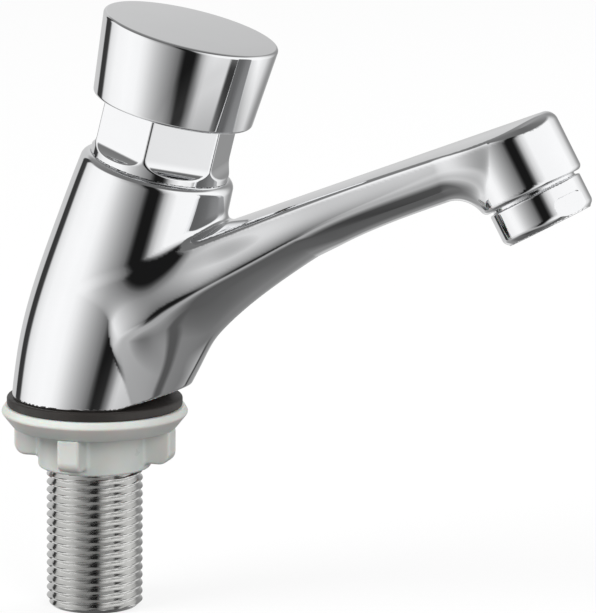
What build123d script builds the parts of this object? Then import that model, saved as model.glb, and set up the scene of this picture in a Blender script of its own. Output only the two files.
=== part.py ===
from build123d import *
import os
from math import cos, radians, sin

# A push timed tap. Origin: on the threaded shank's axis, in the plane of the deck.
# +Z points up, the spout reaches out along +X, and the casting is symmetric about Y = 0.
# Lengths are in millimetres and angles in degrees.
os.makedirs("parts", exist_ok=True)

# Gaps that all pieces share
thread_gap = 0.05  # radial, between a male and a female thread, both drawn plain
running_gap = 0.05  # radial, between pieces that slide or turn on each other
seat_gap = 0.1  # radial, between a fixed piece and its bore
seal_gap = 0.02  # round a rubber ring in its groove
groove_play = 0.2  # how much taller a groove is than its ring
overrun = 30.0  # how far a cutter reaches past what it cuts

# The stand of the tap
push_tilt = 13.85  # the cap and cartridge lean this far forward
seam_x = 14.9  # centre of the seam between casting and bonnet
seam_z = 53.7
gasket_thickness = 2.0
gasket_radius = 19.1
gasket_hole_radius = 10.8
gasket_chamfer = 0.5
foot_radius = 18.0
shoulder_radius = 16.6
shoulder_rounding = 1.6
toe_start = 11.0  # the foot is relieved from here towards the spout
toe_slope = 19.3

# Sections of the leaning body, from the foot to the seam: height, lean and tilt as shares of
# the seam's, then back, side and front half-widths as shares of the straight taper between
body_section_shares = (
    (0.0, 0.0, 0.0, 1.0, 1.0, 1.0),
    (0.232, 0.215, 0.29, 1.092, 1.041, 1.03),
    (0.484, 0.47, 0.54, 1.108, 1.062, 1.027),
    (0.735, 0.738, 0.78, 1.072, 1.049, 1.019),
    (0.909, 0.909, 0.925, 1.028, 1.022, 1.01),
    (1.0, 1.0, 1.0, 1.0, 1.0, 1.0),
)

# The spout, measured along its straight top line back from the head
outlet_x = 102.9
outlet_z = 46.4
outlet_tilt = 28.96
spout_slope = 21.8
head_height = 23.3  # from the outlet's plane to the top line, along the outlet's axis
head_radius = 11.45
head_bottom = 8.0  # the head's lower rim above the outlet's plane
head_core = 8.0  # how far the round head runs up inside the spout
spout_length = 98.8
spout_depth = 11.4
spout_half_width = 11.3
spout_crown_share = 0.15
spout_tip_share = -0.16  # the loft runs past the head's axis, to be trimmed round
neck_blend = 4.0
# Distance back, depth and half-width, as shares of the three sizes above, then the flank's
# lower point as shares of the section's own half-width and depth
spout_section_shares = (
    (spout_tip_share, 1.0, 1.0, 0.8, 0.75),
    (0.0, 1.0, 1.0, 0.8, 0.75),
    (0.209, 1.0, 0.86, 0.8, 0.75),
    (0.345, 1.035, 0.79, 0.83, 0.74),
    (0.468, 1.158, 0.78, 0.92, 0.71),
    (0.568, 1.351, 0.80, 1.06, 0.67),
    (0.660, 1.570, 0.84, 1.22, 0.64),
    (0.744, 1.833, 0.89, 1.35, 0.61),
    (0.810, 2.132, 0.94, 1.42, 0.59),
    (0.862, 2.465, 0.98, 1.43, 0.585),
    (0.919, 2.842, 1.02, 1.38, 0.585),
    (0.960, 3.15, 1.04, 1.33, 0.60),
    (1.0, 3.20, 1.04, 1.30, 0.62),
)

# The shank, a G1/2 thread drawn plain at its major diameter
thread_radius = 10.4775
shank_length = 44.5
shank_engagement = 8.0
shank_bore_radius = 6.5
shank_tip_chamfer = 1.1
shank_mouth_chamfer = 0.5
inlet_socket_radius = 7.6
inlet_socket_depth = 10.5
strainer_recess = 0.5
strainer_flange_thickness = 1.2
strainer_cup_radius = 6.2
strainer_cup_wall = 0.8
strainer_cup_height = 8.0
strainer_slot_count = 6
strainer_slot_width = 1.4
strainer_slot_margin = 1.2
shank_seal_height = 1.0  # above the foot
shank_seal_section = 1.8
shank_seal_depth = 1.4

# Back nut and washer
washer_thickness = 4.5
washer_rim_radius = 20.35
washer_top_radius = 19.6
washer_rim_drop = 1.4
washer_foot_radius = 17.9
washer_hole_radius = 11.0
nut_height = 9.0
nut_hub_radius = 12.3
nut_hub_chamfer = 1.0
wing_count = 4
wing_reach = 17.9
wing_thickness = 4.9
wing_height = 7.4
wing_rounding = 2.6
wing_root = 0.5  # the wings stop this far outside the thread
wing_turn = -86.7  # heading of the first wing from +X

# Levels along the push axis, measured from the seam; the cap is above it
bonnet_spigot_radius = 12.0
bonnet_spigot_depth = 7.0
collar_radius = 15.05
collar_height = 1.2
hex_half_width = 13.05
hex_turn = 5.8
hex_top = 13.5
hex_edge_chamfer = 1.0
hex_blend = 3.0
hex_cutter_width = 18.0
bonnet_cavity_radius = 8.5
bonnet_cavity_top = 0.8
bonnet_web_top = 2.6
bonnet_seal_section = 1.8
bonnet_seal_depth = 1.4
bonnet_seal_drop = 0.6
spring_pocket_inner = 8.2
stem_hole_radius = 3.3
spring_pocket_outer = 10.7
spring_pocket_floor = 8.0
bush_radius = 5.0
bush_flange_radius = 7.4
bush_flange_thickness = 0.9
stem_seal_height = 1.9

cap_height = 18.0
cap_skirt_clearance = 12.75  # the skirt's rim above the seam
cap_top_radius = 19.14
cap_flare = 1.74  # how much narrower the skirt is at its rim
cap_top_rounding = 0.7
cap_rim_rounding = 1.2
cap_wall = 1.45
cap_roof = 2.2
cap_boss_radius = 6.0
cap_boss_length = 4.5
cap_boss_roof = 1.0

stem_radius = 3.0
stem_tail_radius = 2.0
stem_collar_radius = 4.2
stem_collar_thickness = 0.8
lock_nut_height = 2.5
lock_nut_half_width = 4.5
spring_wire_radius = 0.65
spring_mean_radius = 9.45
spring_turns = 5.5

barrel_radius = 11.0
barrel_flange_radius = 11.9
barrel_flange_thickness = 1.6
barrel_bore_radius = 9.0
barrel_length = 23.0
window_top = 12.0  # below the barrel's top
window_height = 5.5
window_width = 6.5
seat_plate_thickness = 4.5
seat_bore_radius = 5.6
seat_lip_height = 0.8
seat_lip_width = 0.9
bleed_groove_width = 1.0
bleed_groove_depth = 0.5
barrel_seal_section = 1.8
barrel_seal_depth = 1.4
barrel_seal_lift = 1.6  # of the groove above the barrel's foot
gallery_radius = 13.2
gallery_margin = 1.0  # the gallery is taller than the windows by this, above and below

piston_drop = 1.5  # its top below the barrel's top, at rest
piston_thickness = 3.2
piston_groove_width = 1.8
piston_groove_depth = 1.8
cup_lip_thickness = 0.6
cup_lip_height = 0.9
circlip_thickness = 0.6
circlip_radius = 4.4
circlip_groove_depth = 0.5

valve_washer_thickness = 2.0
valve_washer_radius = 8.0
valve_disc_radius = 8.8
valve_disc_thickness = 1.5
valve_disc_rim = 1.2  # how far its rim stands up round the washer
valve_nut_height = 2.2
valve_nut_half_width = 2.9
stem_tip_length = 0.4
chamber_radius = 10.0
chamber_wall_length = 10.8
chamber_throat_radius = 6.8
chamber_throat_length = 2.2
inlet_drill_height = 4.0  # the drilling above the shank, up into the chamber

# The waterway in the spout, one gentle arc
waterway_radius = 3.4
waterway_low_x = 20.0
waterway_low_z = 28.5
waterway_middle_x = 58.0
waterway_middle_z = 46.4
waterway_end_height = 15.6  # where it meets the outlet's axis

# Outlet pieces, measured up from the outlet's plane
aerator_radius = 10.35
aerator_chamfer = 1.1
aerator_skirt_height = 7.4
aerator_flat_half_width = 9.65
aerator_flat_height = 4.4
aerator_flat_rounding = 1.5
aerator_flat_width = 7.6
aerator_flat_turn = -33.0
aerator_spigot_radius = 9.4
aerator_spigot_height = 5.6
aerator_bore_radius = 8.2
aerator_lip_radius = 7.6
aerator_lip_height = 0.9
aerator_washer_thickness = 1.0
aerator_washer_bore = 6.8
outlet_chamber_radius = 6.6
outlet_chamber_height = 3.6
insert_height = 11.4
insert_plate_thickness = 1.2
insert_wall = 0.8
insert_grid_height = 2.4
insert_rib_width = 0.7
insert_rib_pitch = 2.4
insert_rib_count = 7
insert_core_radius = 1.6
screen_thickness = 0.5
screen_hole_width = 1.1
screen_hole_pitch = 1.8
screen_rings = 4
screen_margin = 1.2

# Frames that the pieces are drawn in
foot_z = gasket_thickness
push_lean = radians(push_tilt)
outlet_lean = radians(outlet_tilt)
spout_lean = radians(spout_slope)
push_out = Vector(cos(push_lean), 0, -sin(push_lean))
push_up = Vector(sin(push_lean), 0, cos(push_lean))
seam = Plane(origin=(seam_x, 0, seam_z), x_dir=push_out, z_dir=push_up)
push_side = Plane(origin=seam.origin, x_dir=push_out, z_dir=(0, -1, 0))
push_axis = Axis(seam.origin, push_up)
outlet_up = Vector(-sin(outlet_lean), 0, cos(outlet_lean))
outlet_out = Vector(cos(outlet_lean), 0, sin(outlet_lean))
outlet = Plane(origin=(outlet_x, 0, outlet_z), x_dir=outlet_out, z_dir=outlet_up)
outlet_side = Plane(origin=outlet.origin, x_dir=outlet_out, z_dir=(0, -1, 0))
outlet_axis = Axis(outlet.origin, outlet_up)
spout_along = Vector(cos(spout_lean), 0, sin(spout_lean))
spout_top = outlet.origin + outlet_up * head_height

# Levels worked out from the sizes above
barrel_top = -bonnet_spigot_depth
barrel_foot = barrel_top - barrel_length
seat_level = barrel_foot - seat_lip_height
cap_rim_radius = cap_top_radius - cap_flare
cap_rim_level = cap_skirt_clearance
cap_top_level = cap_rim_level + cap_height
cap_ceiling = cap_top_level - cap_roof
boss_foot = cap_ceiling - cap_boss_length
piston_top = barrel_top - piston_drop
piston_foot = piston_top - piston_thickness
disc_foot = seat_level - valve_washer_thickness - valve_disc_thickness
shank_top = foot_z + shank_engagement
socket_top = aerator_skirt_height + aerator_spigot_height + aerator_washer_thickness


def closed_outline(plane, *points):
    """A flat face on a plane, bounded by straight lines through the points."""
    with BuildSketch(plane) as face:
        with BuildLine():
            Polyline(*points, close=True)
        make_face()
    return face.sketch


def ring_outline(plane, inner, outer, low, high):
    """A rectangle to be revolved: a plain ring between two radii and two heights."""
    return closed_outline(plane, (inner, low), (outer, low), (outer, high), (inner, high))


def seal_outline(plane, inner, outer, low, high):
    """The section of a squeezed rubber ring: its corners are cut off by a quarter."""
    corner = (outer - inner) / 4
    return closed_outline(
        plane,
        (inner + corner, low),
        (outer - corner, low),
        (outer, low + corner),
        (outer, high - corner),
        (outer - corner, high),
        (inner + corner, high),
        (inner, high - corner),
        (inner, low + corner),
    )


def spout_section(distance_share, depth_share, width_share, flank_width, flank_depth):
    """One section of the spout: a crowned top over deep rounded flanks, flared at its root."""
    half = spout_half_width * width_share
    depth = spout_depth * depth_share
    crown = spout_crown_share * half
    flank = (flank_width * half, -flank_depth * depth)
    origin = spout_top - spout_along * (spout_length * distance_share)
    with BuildSketch(Plane(origin=origin, x_dir=(0, 1, 0), z_dir=spout_along)) as face:
        with BuildLine():
            ThreePointArc((-half, -crown), (0, 0), (half, -crown))
            Spline((half, -crown), flank, (0, -depth), tangents=((0, -1), (-1, 0)))
            Spline((0, -depth), (-flank[0], flank[1]), (-half, -crown), tangents=((-1, 0), (0, 1)))
        make_face()
    return face.sketch


# The leaning body on its own, before the spout joins it
with BuildPart() as body_core:
    for height, lean, tilt, back, side, front in body_section_shares:
        taper = foot_radius + (shoulder_radius - foot_radius) * height
        turn = radians(push_tilt * tilt)
        place = (seam_x * lean, 0, foot_z + (seam_z - foot_z) * height)
        with BuildSketch(Plane(origin=place, x_dir=(cos(turn), 0, -sin(turn)), z_dir=(sin(turn), 0, cos(turn)))):
            with BuildLine():
                EllipticalCenterArc((0, 0), taper * front, taper * side, -90, arc_size=180)
                EllipticalCenterArc((0, 0), taper * back, taper * side, 90, arc_size=180)
            make_face()
    loft()

# The spout on its own: its tip is trimmed round the outlet's axis
with BuildPart() as spout_core:
    loft([spout_section(*shares) for shares in spout_section_shares])
    with BuildSketch(outlet):
        with Locations((overrun, 0)):
            Rectangle(2 * overrun, 2 * overrun)
        Circle(head_radius, mode=Mode.SUBTRACT)
    extrude(amount=head_height + overrun, both=True, mode=Mode.SUBTRACT)

# One flat of the hexagon is cut by this, and one wing of the back nut looks like the other
with BuildPart() as flat_cutter:
    with BuildSketch(push_side) as flat_face:
        with BuildLine():
            l1 = Line((hex_half_width + hex_blend, collar_height), (hex_half_width + overrun, collar_height))
            l2 = Line(l1 @ 1, (hex_half_width + overrun, hex_top + overrun))
            l3 = Line(l2 @ 1, (hex_half_width, hex_top + overrun))
            l4 = Line(l3 @ 1, (hex_half_width, collar_height + hex_blend))
            TangentArc(l4 @ 1, l1 @ 0, tangent=(0, -1))
        make_face()
    extrude(amount=hex_cutter_width / 2, both=True)

with BuildPart() as wing:
    with BuildSketch(Plane.XZ) as wing_face:
        with Locations((nut_hub_radius, -washer_thickness)):
            Rectangle(wing_reach - nut_hub_radius, wing_height, align=(Align.MIN, Align.MAX))
        fillet(wing_face.vertices().group_by(Axis.Z)[0].sort_by(Axis.X)[-1:], wing_rounding)
        with Locations((nut_hub_radius, -washer_thickness)):
            Rectangle(nut_hub_radius - thread_radius - wing_root, wing_height, align=(Align.MAX, Align.MAX))
    extrude(amount=wing_thickness / 2, both=True)

with BuildPart() as tap_body:
    add(body_core.part)
    add(spout_core.part)
    with BuildSketch(Plane.XY.offset(foot_z)):
        Rectangle(6 * overrun, 2 * overrun)
    extrude(amount=-2 * overrun, mode=Mode.SUBTRACT)
    junction = new_edges(body_core.part, spout_core.part, combined=tap_body.part)
    fillet(junction.filter_by(lambda edge: edge.center().Z > foot_z + thread_gap), neck_blend)
    # The round head below the spout's tip
    with BuildSketch(outlet.offset(head_bottom)):
        Circle(head_radius)
    extrude(amount=head_core)
    # The foot rises towards the spout in front of the shank
    rise = overrun * sin(radians(toe_slope)) / cos(radians(toe_slope))
    with BuildSketch(Plane.XZ):
        with BuildLine():
            Polyline(
                (toe_start, foot_z),
                (toe_start + overrun, foot_z + rise),
                (toe_start + overrun, foot_z - rise),
                (toe_start, foot_z - rise),
                close=True,
            )
        make_face()
    extrude(amount=overrun, both=True, mode=Mode.SUBTRACT)
    seam_edges = tap_body.edges().filter_by(lambda edge: abs(seam.to_local_coords(edge.center()).Z) < thread_gap)
    fillet(seam_edges, shoulder_rounding)
    # Bore for the bonnet and cartridge, with the gallery round the windows and the valve's chamber
    gallery_top = barrel_top - window_top + gallery_margin
    gallery_foot = barrel_top - window_top - window_height - gallery_margin
    chamber_foot = barrel_foot - chamber_wall_length
    bore_radius = barrel_radius + seat_gap
    with BuildSketch(push_side):
        with BuildLine():
            Polyline(
                (0, overrun),
                (bonnet_spigot_radius + thread_gap, overrun),
                (bonnet_spigot_radius + thread_gap, barrel_top - barrel_flange_thickness),
                (bore_radius, barrel_top - barrel_flange_thickness),
                (bore_radius, gallery_top),
                (gallery_radius, gallery_top),
                (gallery_radius, gallery_foot),
                (bore_radius, gallery_foot),
                (bore_radius, barrel_foot),
                (chamber_radius, barrel_foot),
                (chamber_radius, chamber_foot),
                (chamber_throat_radius, chamber_foot - chamber_throat_length),
                (0, chamber_foot - chamber_throat_length),
                close=True,
            )
        make_face()
    revolve(axis=push_axis, mode=Mode.SUBTRACT)
    # Bore for the shank, and the drilling above it
    with BuildSketch(Plane.XY.offset(foot_z - overrun)):
        Circle(thread_radius + thread_gap)
    extrude(amount=overrun + shank_engagement, mode=Mode.SUBTRACT)
    with BuildSketch(Plane.XY.offset(shank_top)):
        Circle(shank_bore_radius)
    extrude(amount=inlet_drill_height, mode=Mode.SUBTRACT)
    # Socket for the aerator, and the chamber above it
    with BuildSketch(outlet):
        Circle(aerator_spigot_radius + thread_gap)
    extrude(amount=socket_top, mode=Mode.SUBTRACT)
    with BuildSketch(outlet.offset(socket_top)):
        Circle(outlet_chamber_radius)
    extrude(amount=outlet_chamber_height, mode=Mode.SUBTRACT)
    # The waterway along the spout
    waterway_end = outlet.origin + outlet_up * waterway_end_height
    with BuildLine() as waterway:
        ThreePointArc(
            waterway_end,
            (waterway_middle_x, 0, waterway_middle_z),
            (waterway_low_x, 0, waterway_low_z),
        )
    with BuildSketch(Plane(origin=waterway_end, x_dir=(0, 1, 0), z_dir=waterway.line % 0)):
        Circle(waterway_radius)
    sweep(path=waterway.line, mode=Mode.SUBTRACT)
tap_body.part.label = "tap_body"
export_step(tap_body.part, "parts/tap_body.step")

with BuildPart() as push_cap:
    with BuildSketch(push_side) as cap_face:
        with BuildLine():
            Polyline(
                (0, cap_top_level),
                (cap_top_radius, cap_top_level),
                (cap_rim_radius, cap_rim_level),
                (cap_rim_radius - cap_wall, cap_rim_level),
                (cap_top_radius - cap_wall, cap_ceiling),
                (cap_boss_radius, cap_ceiling),
                (cap_boss_radius, boss_foot),
                (stem_radius - thread_gap, boss_foot),
                (stem_radius - thread_gap, cap_ceiling - cap_boss_roof),
                (0, cap_ceiling - cap_boss_roof),
                close=True,
            )
        make_face()
    revolve(axis=push_axis)
    round_edges = push_cap.edges().filter_by(GeomType.CIRCLE)
    fillet(round_edges.filter_by(lambda edge: edge.radius > cap_top_radius - cap_wall / 2), cap_top_rounding)
    lower = push_cap.edges().filter_by(GeomType.CIRCLE).filter_by(
        lambda edge: abs(seam.to_local_coords(edge.arc_center).Z - cap_rim_level) < cap_wall / 2
    )
    # The rim's rounding stays within the skirt's wall
    fillet(lower.sort_by(lambda edge: edge.radius)[-1:], min(cap_rim_rounding, cap_wall - seat_gap))
push_cap.part.label = "push_cap"
export_step(push_cap.part, "parts/push_cap.step")

with BuildPart() as hex_bonnet:
    seal_top = -bonnet_seal_drop
    seal_foot = seal_top - bonnet_seal_section - groove_play
    with BuildSketch(push_side):
        with BuildLine():
            Polyline(
                (stem_hole_radius, bonnet_cavity_top),
                (bonnet_cavity_radius, bonnet_cavity_top),
                (bonnet_cavity_radius, -bonnet_spigot_depth),
                (bonnet_spigot_radius, -bonnet_spigot_depth),
                (bonnet_spigot_radius, seal_foot),
                (bonnet_spigot_radius - bonnet_seal_depth, seal_foot),
                (bonnet_spigot_radius - bonnet_seal_depth, seal_top),
                (bonnet_spigot_radius, seal_top),
                (bonnet_spigot_radius, 0),
                (collar_radius, 0),
                (collar_radius, hex_top - hex_edge_chamfer),
                (hex_half_width, hex_top),
                (spring_pocket_outer, hex_top),
                (spring_pocket_outer, spring_pocket_floor),
                (spring_pocket_inner, spring_pocket_floor),
                (spring_pocket_inner, hex_top),
                (bush_radius + running_gap, hex_top),
                (bush_radius + running_gap, bonnet_web_top),
                (stem_hole_radius, bonnet_web_top),
                close=True,
            )
        make_face()
    revolve(axis=push_axis)
    for corner in range(6):
        add(flat_cutter.part.rotate(push_axis, hex_turn + corner * 60), mode=Mode.SUBTRACT)
hex_bonnet.part.label = "hex_bonnet"
export_step(hex_bonnet.part, "parts/hex_bonnet.step")

with BuildPart() as bonnet_o_ring:
    add(
        seal_outline(
            push_side,
            bonnet_spigot_radius - bonnet_seal_depth + seal_gap,
            bonnet_spigot_radius + thread_gap - seal_gap,
            seal_foot + groove_play / 2,
            seal_top - groove_play / 2,
        )
    )
    revolve(axis=push_axis)
bonnet_o_ring.part.label = "bonnet_o_ring"
export_step(bonnet_o_ring.part, "parts/bonnet_o_ring.step")

with BuildPart() as guide_bush:
    bush_foot = bonnet_web_top + stem_seal_height
    with BuildSketch(push_side):
        with BuildLine():
            Polyline(
                (stem_radius + running_gap, bush_foot),
                (bush_radius, bush_foot),
                (bush_radius, hex_top),
                (bush_flange_radius, hex_top),
                (bush_flange_radius, hex_top + bush_flange_thickness),
                (stem_radius + running_gap, hex_top + bush_flange_thickness),
                close=True,
            )
        make_face()
    revolve(axis=push_axis)
guide_bush.part.label = "guide_bush"
export_step(guide_bush.part, "parts/guide_bush.step")

with BuildPart() as stem_o_ring:
    add(
        seal_outline(
            push_side,
            stem_radius + running_gap,
            bush_radius,
            bonnet_web_top,
            bonnet_web_top + stem_seal_height,
        )
    )
    revolve(axis=push_axis)
stem_o_ring.part.label = "stem_o_ring"
export_step(stem_o_ring.part, "parts/stem_o_ring.step")

with BuildPart() as stem:
    thread_foot = boss_foot - lock_nut_height - seat_lip_height
    groove_radius = stem_radius - circlip_groove_depth
    disc_top = seat_level
    with BuildSketch(push_side):
        with BuildLine():
            Polyline(
                (0, cap_ceiling - cap_boss_roof - circlip_thickness),
                (stem_radius - 2 * thread_gap, cap_ceiling - cap_boss_roof - circlip_thickness),
                (stem_radius - 2 * thread_gap, thread_foot),
                (stem_radius, thread_foot),
                (stem_radius, piston_top + stem_collar_thickness),
                (stem_collar_radius, piston_top + stem_collar_thickness),
                (stem_collar_radius, piston_top),
                (stem_radius, piston_top),
                (stem_radius, piston_foot),
                (groove_radius, piston_foot),
                (groove_radius, piston_foot - circlip_thickness),
                (stem_radius, piston_foot - circlip_thickness),
                (stem_radius, disc_top),
                (stem_tail_radius, disc_top),
                (stem_tail_radius, disc_foot - valve_nut_height - stem_tip_length),
                (0, disc_foot - valve_nut_height - stem_tip_length),
                close=True,
            )
        make_face()
    revolve(axis=push_axis)
stem.part.label = "stem"
export_step(stem.part, "parts/stem.step")

with BuildPart() as cap_lock_nut:
    with BuildSketch(seam.offset(boss_foot - lock_nut_height)):
        RegularPolygon(lock_nut_half_width, 6, major_radius=False)
        Circle(stem_radius - thread_gap, mode=Mode.SUBTRACT)
    extrude(amount=lock_nut_height)
cap_lock_nut.part.label = "cap_lock_nut"
export_step(cap_lock_nut.part, "parts/cap_lock_nut.step")

with BuildPart() as return_spring:
    spring_length = cap_ceiling - spring_pocket_floor - 2 * spring_wire_radius
    spring_foot = spring_pocket_floor + spring_wire_radius
    with BuildLine() as coil:
        Helix(
            pitch=spring_length / spring_turns,
            height=spring_length,
            radius=spring_mean_radius,
            center=seam.origin + push_up * spring_foot,
            direction=push_up,
        )
    with BuildSketch(Plane(origin=coil.line @ 0, x_dir=push_up, z_dir=coil.line % 0)):
        RegularPolygon(spring_wire_radius, 6)
    sweep(path=coil.line, is_frenet=True)
return_spring.part.label = "return_spring"
export_step(return_spring.part, "parts/return_spring.step")

with BuildPart() as cartridge_barrel:
    barrel_groove_foot = barrel_foot + barrel_seal_lift
    barrel_groove_top = barrel_groove_foot + barrel_seal_section + groove_play
    with BuildSketch(push_side):
        with BuildLine():
            Polyline(
                (barrel_bore_radius, barrel_top),
                (barrel_flange_radius, barrel_top),
                (barrel_flange_radius, barrel_top - barrel_flange_thickness),
                (barrel_radius, barrel_top - barrel_flange_thickness),
                (barrel_radius, barrel_groove_top),
                (barrel_radius - barrel_seal_depth, barrel_groove_top),
                (barrel_radius - barrel_seal_depth, barrel_groove_foot),
                (barrel_radius, barrel_groove_foot),
                (barrel_radius, barrel_foot),
                (seat_bore_radius + seat_lip_width, barrel_foot),
                (seat_bore_radius + seat_lip_width, seat_level),
                (seat_bore_radius, seat_level),
                (seat_bore_radius, barrel_foot + seat_plate_thickness),
                (barrel_bore_radius, barrel_foot + seat_plate_thickness),
                close=True,
            )
        make_face()
    revolve(axis=push_axis)
    # Windows into the gallery, two bars crossing
    with BuildSketch(seam.offset(barrel_top - window_top - window_height)):
        Rectangle(2 * overrun, window_width)
        Rectangle(window_width, 2 * overrun)
    extrude(amount=window_height, mode=Mode.SUBTRACT)
    # The bleed groove past the piston
    with BuildSketch(seam.offset(barrel_top)):
        with Locations((0, barrel_bore_radius - bleed_groove_depth)):
            Rectangle(bleed_groove_width, 2 * bleed_groove_depth, align=(Align.CENTER, Align.MIN))
    extrude(amount=-window_top, mode=Mode.SUBTRACT)
cartridge_barrel.part.label = "cartridge_barrel"
export_step(cartridge_barrel.part, "parts/cartridge_barrel.step")

with BuildPart() as barrel_o_ring:
    add(
        seal_outline(
            push_side,
            barrel_radius - barrel_seal_depth + seal_gap,
            bore_radius - seal_gap,
            barrel_groove_foot + groove_play / 2,
            barrel_groove_top - groove_play / 2,
        )
    )
    revolve(axis=push_axis)
barrel_o_ring.part.label = "barrel_o_ring"
export_step(barrel_o_ring.part, "parts/barrel_o_ring.step")

with BuildPart() as piston:
    piston_radius = barrel_bore_radius - running_gap
    piston_rim = (piston_thickness - piston_groove_width) / 2
    with BuildSketch(push_side):
        with BuildLine():
            Polyline(
                (stem_radius + running_gap, piston_top),
                (piston_radius, piston_top),
                (piston_radius, piston_top - piston_rim),
                (piston_radius - piston_groove_depth, piston_top - piston_rim),
                (piston_radius - piston_groove_depth, piston_foot + piston_rim),
                (piston_radius, piston_foot + piston_rim),
                (piston_radius, piston_foot),
                (stem_radius + running_gap, piston_foot),
                close=True,
            )
        make_face()
    revolve(axis=push_axis)
piston.part.label = "piston"
export_step(piston.part, "parts/piston.step")

with BuildPart() as piston_cup_seal:
    cup_inner = piston_radius - piston_groove_depth + seal_gap
    cup_foot = piston_foot + piston_rim
    with BuildSketch(push_side):
        with BuildLine():
            Polyline(
                (cup_inner, cup_foot),
                (piston_radius, cup_foot),
                (piston_radius, cup_foot + cup_lip_thickness + cup_lip_height),
                (piston_radius - cup_lip_thickness, cup_foot + cup_lip_thickness + cup_lip_height),
                (piston_radius - cup_lip_thickness, cup_foot + cup_lip_thickness),
                (cup_inner, cup_foot + cup_lip_thickness),
                close=True,
            )
        make_face()
    revolve(axis=push_axis)
piston_cup_seal.part.label = "piston_cup_seal"
export_step(piston_cup_seal.part, "parts/piston_cup_seal.step")

with BuildPart() as piston_circlip:
    with BuildSketch(seam.offset(piston_foot)):
        Circle(circlip_radius)
        Circle(groove_radius + seal_gap, mode=Mode.SUBTRACT)
        with Locations((circlip_radius, 0)):
            Rectangle(circlip_radius, 2 * groove_radius - circlip_thickness, mode=Mode.SUBTRACT)
    extrude(amount=-circlip_thickness)
piston_circlip.part.label = "piston_circlip"
export_step(piston_circlip.part, "parts/piston_circlip.step")

with BuildPart() as valve_washer:
    with BuildSketch(seam.offset(seat_level)):
        Circle(valve_washer_radius)
        Circle(stem_tail_radius + thread_gap, mode=Mode.SUBTRACT)
    extrude(amount=-valve_washer_thickness)
valve_washer.part.label = "valve_washer"
export_step(valve_washer.part, "parts/valve_washer.step")

with BuildPart() as valve_disc:
    washer_foot = seat_level - valve_washer_thickness
    with BuildSketch(push_side):
        with BuildLine():
            Polyline(
                (stem_tail_radius + thread_gap, washer_foot),
                (valve_washer_radius + seat_gap, washer_foot),
                (valve_washer_radius + seat_gap, washer_foot + valve_disc_rim),
                (valve_disc_radius, washer_foot + valve_disc_rim),
                (valve_disc_radius, disc_foot),
                (stem_tail_radius + thread_gap, disc_foot),
                close=True,
            )
        make_face()
    revolve(axis=push_axis)
valve_disc.part.label = "valve_disc"
export_step(valve_disc.part, "parts/valve_disc.step")

with BuildPart() as valve_nut:
    with BuildSketch(seam.offset(disc_foot)):
        RegularPolygon(valve_nut_half_width, 6, major_radius=False)
        Circle(stem_tail_radius + thread_gap, mode=Mode.SUBTRACT)
    extrude(amount=-valve_nut_height)
valve_nut.part.label = "valve_nut"
export_step(valve_nut.part, "parts/valve_nut.step")

with BuildPart() as base_gasket:
    with BuildSketch(Plane.XZ):
        with BuildLine():
            Polyline(
                (gasket_hole_radius, 0),
                (gasket_radius - gasket_chamfer, 0),
                (gasket_radius, gasket_chamfer),
                (gasket_radius, gasket_thickness - gasket_chamfer),
                (gasket_radius - gasket_chamfer, gasket_thickness),
                (gasket_hole_radius, gasket_thickness),
                close=True,
            )
        make_face()
    revolve(axis=Axis.Z)
base_gasket.part.label = "base_gasket"
export_step(base_gasket.part, "parts/base_gasket.step")

with BuildPart() as inlet_shank:
    shank_groove_foot = foot_z + shank_seal_height
    shank_groove_top = shank_groove_foot + shank_seal_section + groove_play
    with BuildSketch(Plane.XZ):
        with BuildLine():
            Polyline(
                (shank_bore_radius, shank_top),
                (thread_radius - shank_mouth_chamfer, shank_top),
                (thread_radius, shank_top - shank_mouth_chamfer),
                (thread_radius, shank_groove_top),
                (thread_radius - shank_seal_depth, shank_groove_top),
                (thread_radius - shank_seal_depth, shank_groove_foot),
                (thread_radius, shank_groove_foot),
                (thread_radius, -shank_length + shank_tip_chamfer),
                (thread_radius - shank_tip_chamfer, -shank_length),
                (inlet_socket_radius, -shank_length),
                (inlet_socket_radius, -shank_length + inlet_socket_depth),
                (shank_bore_radius, -shank_length + inlet_socket_depth),
                close=True,
            )
        make_face()
    revolve(axis=Axis.Z)
inlet_shank.part.label = "inlet_shank"
export_step(inlet_shank.part, "parts/inlet_shank.step")

with BuildPart() as shank_o_ring:
    add(
        seal_outline(
            Plane.XZ,
            thread_radius - shank_seal_depth + seal_gap,
            thread_radius + thread_gap - seal_gap,
            shank_groove_foot + groove_play / 2,
            shank_groove_top - groove_play / 2,
        )
    )
    revolve(axis=Axis.Z)
shank_o_ring.part.label = "shank_o_ring"
export_step(shank_o_ring.part, "parts/shank_o_ring.step")

with BuildPart() as inlet_strainer:
    strainer_foot = -shank_length + strainer_recess
    cup_start = strainer_foot + strainer_flange_thickness
    cup_top = strainer_foot + strainer_cup_height
    with BuildSketch(Plane.XZ):
        with BuildLine():
            Polyline(
                (strainer_cup_radius - strainer_cup_wall, strainer_foot),
                (inlet_socket_radius - running_gap, strainer_foot),
                (inlet_socket_radius - running_gap, cup_start),
                (strainer_cup_radius, cup_start),
                (strainer_cup_radius, cup_top),
                (0, cup_top),
                (0, cup_top - strainer_cup_wall),
                (strainer_cup_radius - strainer_cup_wall, cup_top - strainer_cup_wall),
                close=True,
            )
        make_face()
    revolve(axis=Axis.Z)
    # Slots through the cup's wall
    with BuildSketch(Plane.XY.offset(cup_start + strainer_slot_margin)):
        with PolarLocations(strainer_cup_radius, strainer_slot_count):
            Rectangle(2 * strainer_cup_wall + strainer_slot_width, strainer_slot_width)
    extrude(amount=cup_top - cup_start - 2 * strainer_slot_margin - strainer_cup_wall, mode=Mode.SUBTRACT)
inlet_strainer.part.label = "inlet_strainer"
export_step(inlet_strainer.part, "parts/inlet_strainer.step")

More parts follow.
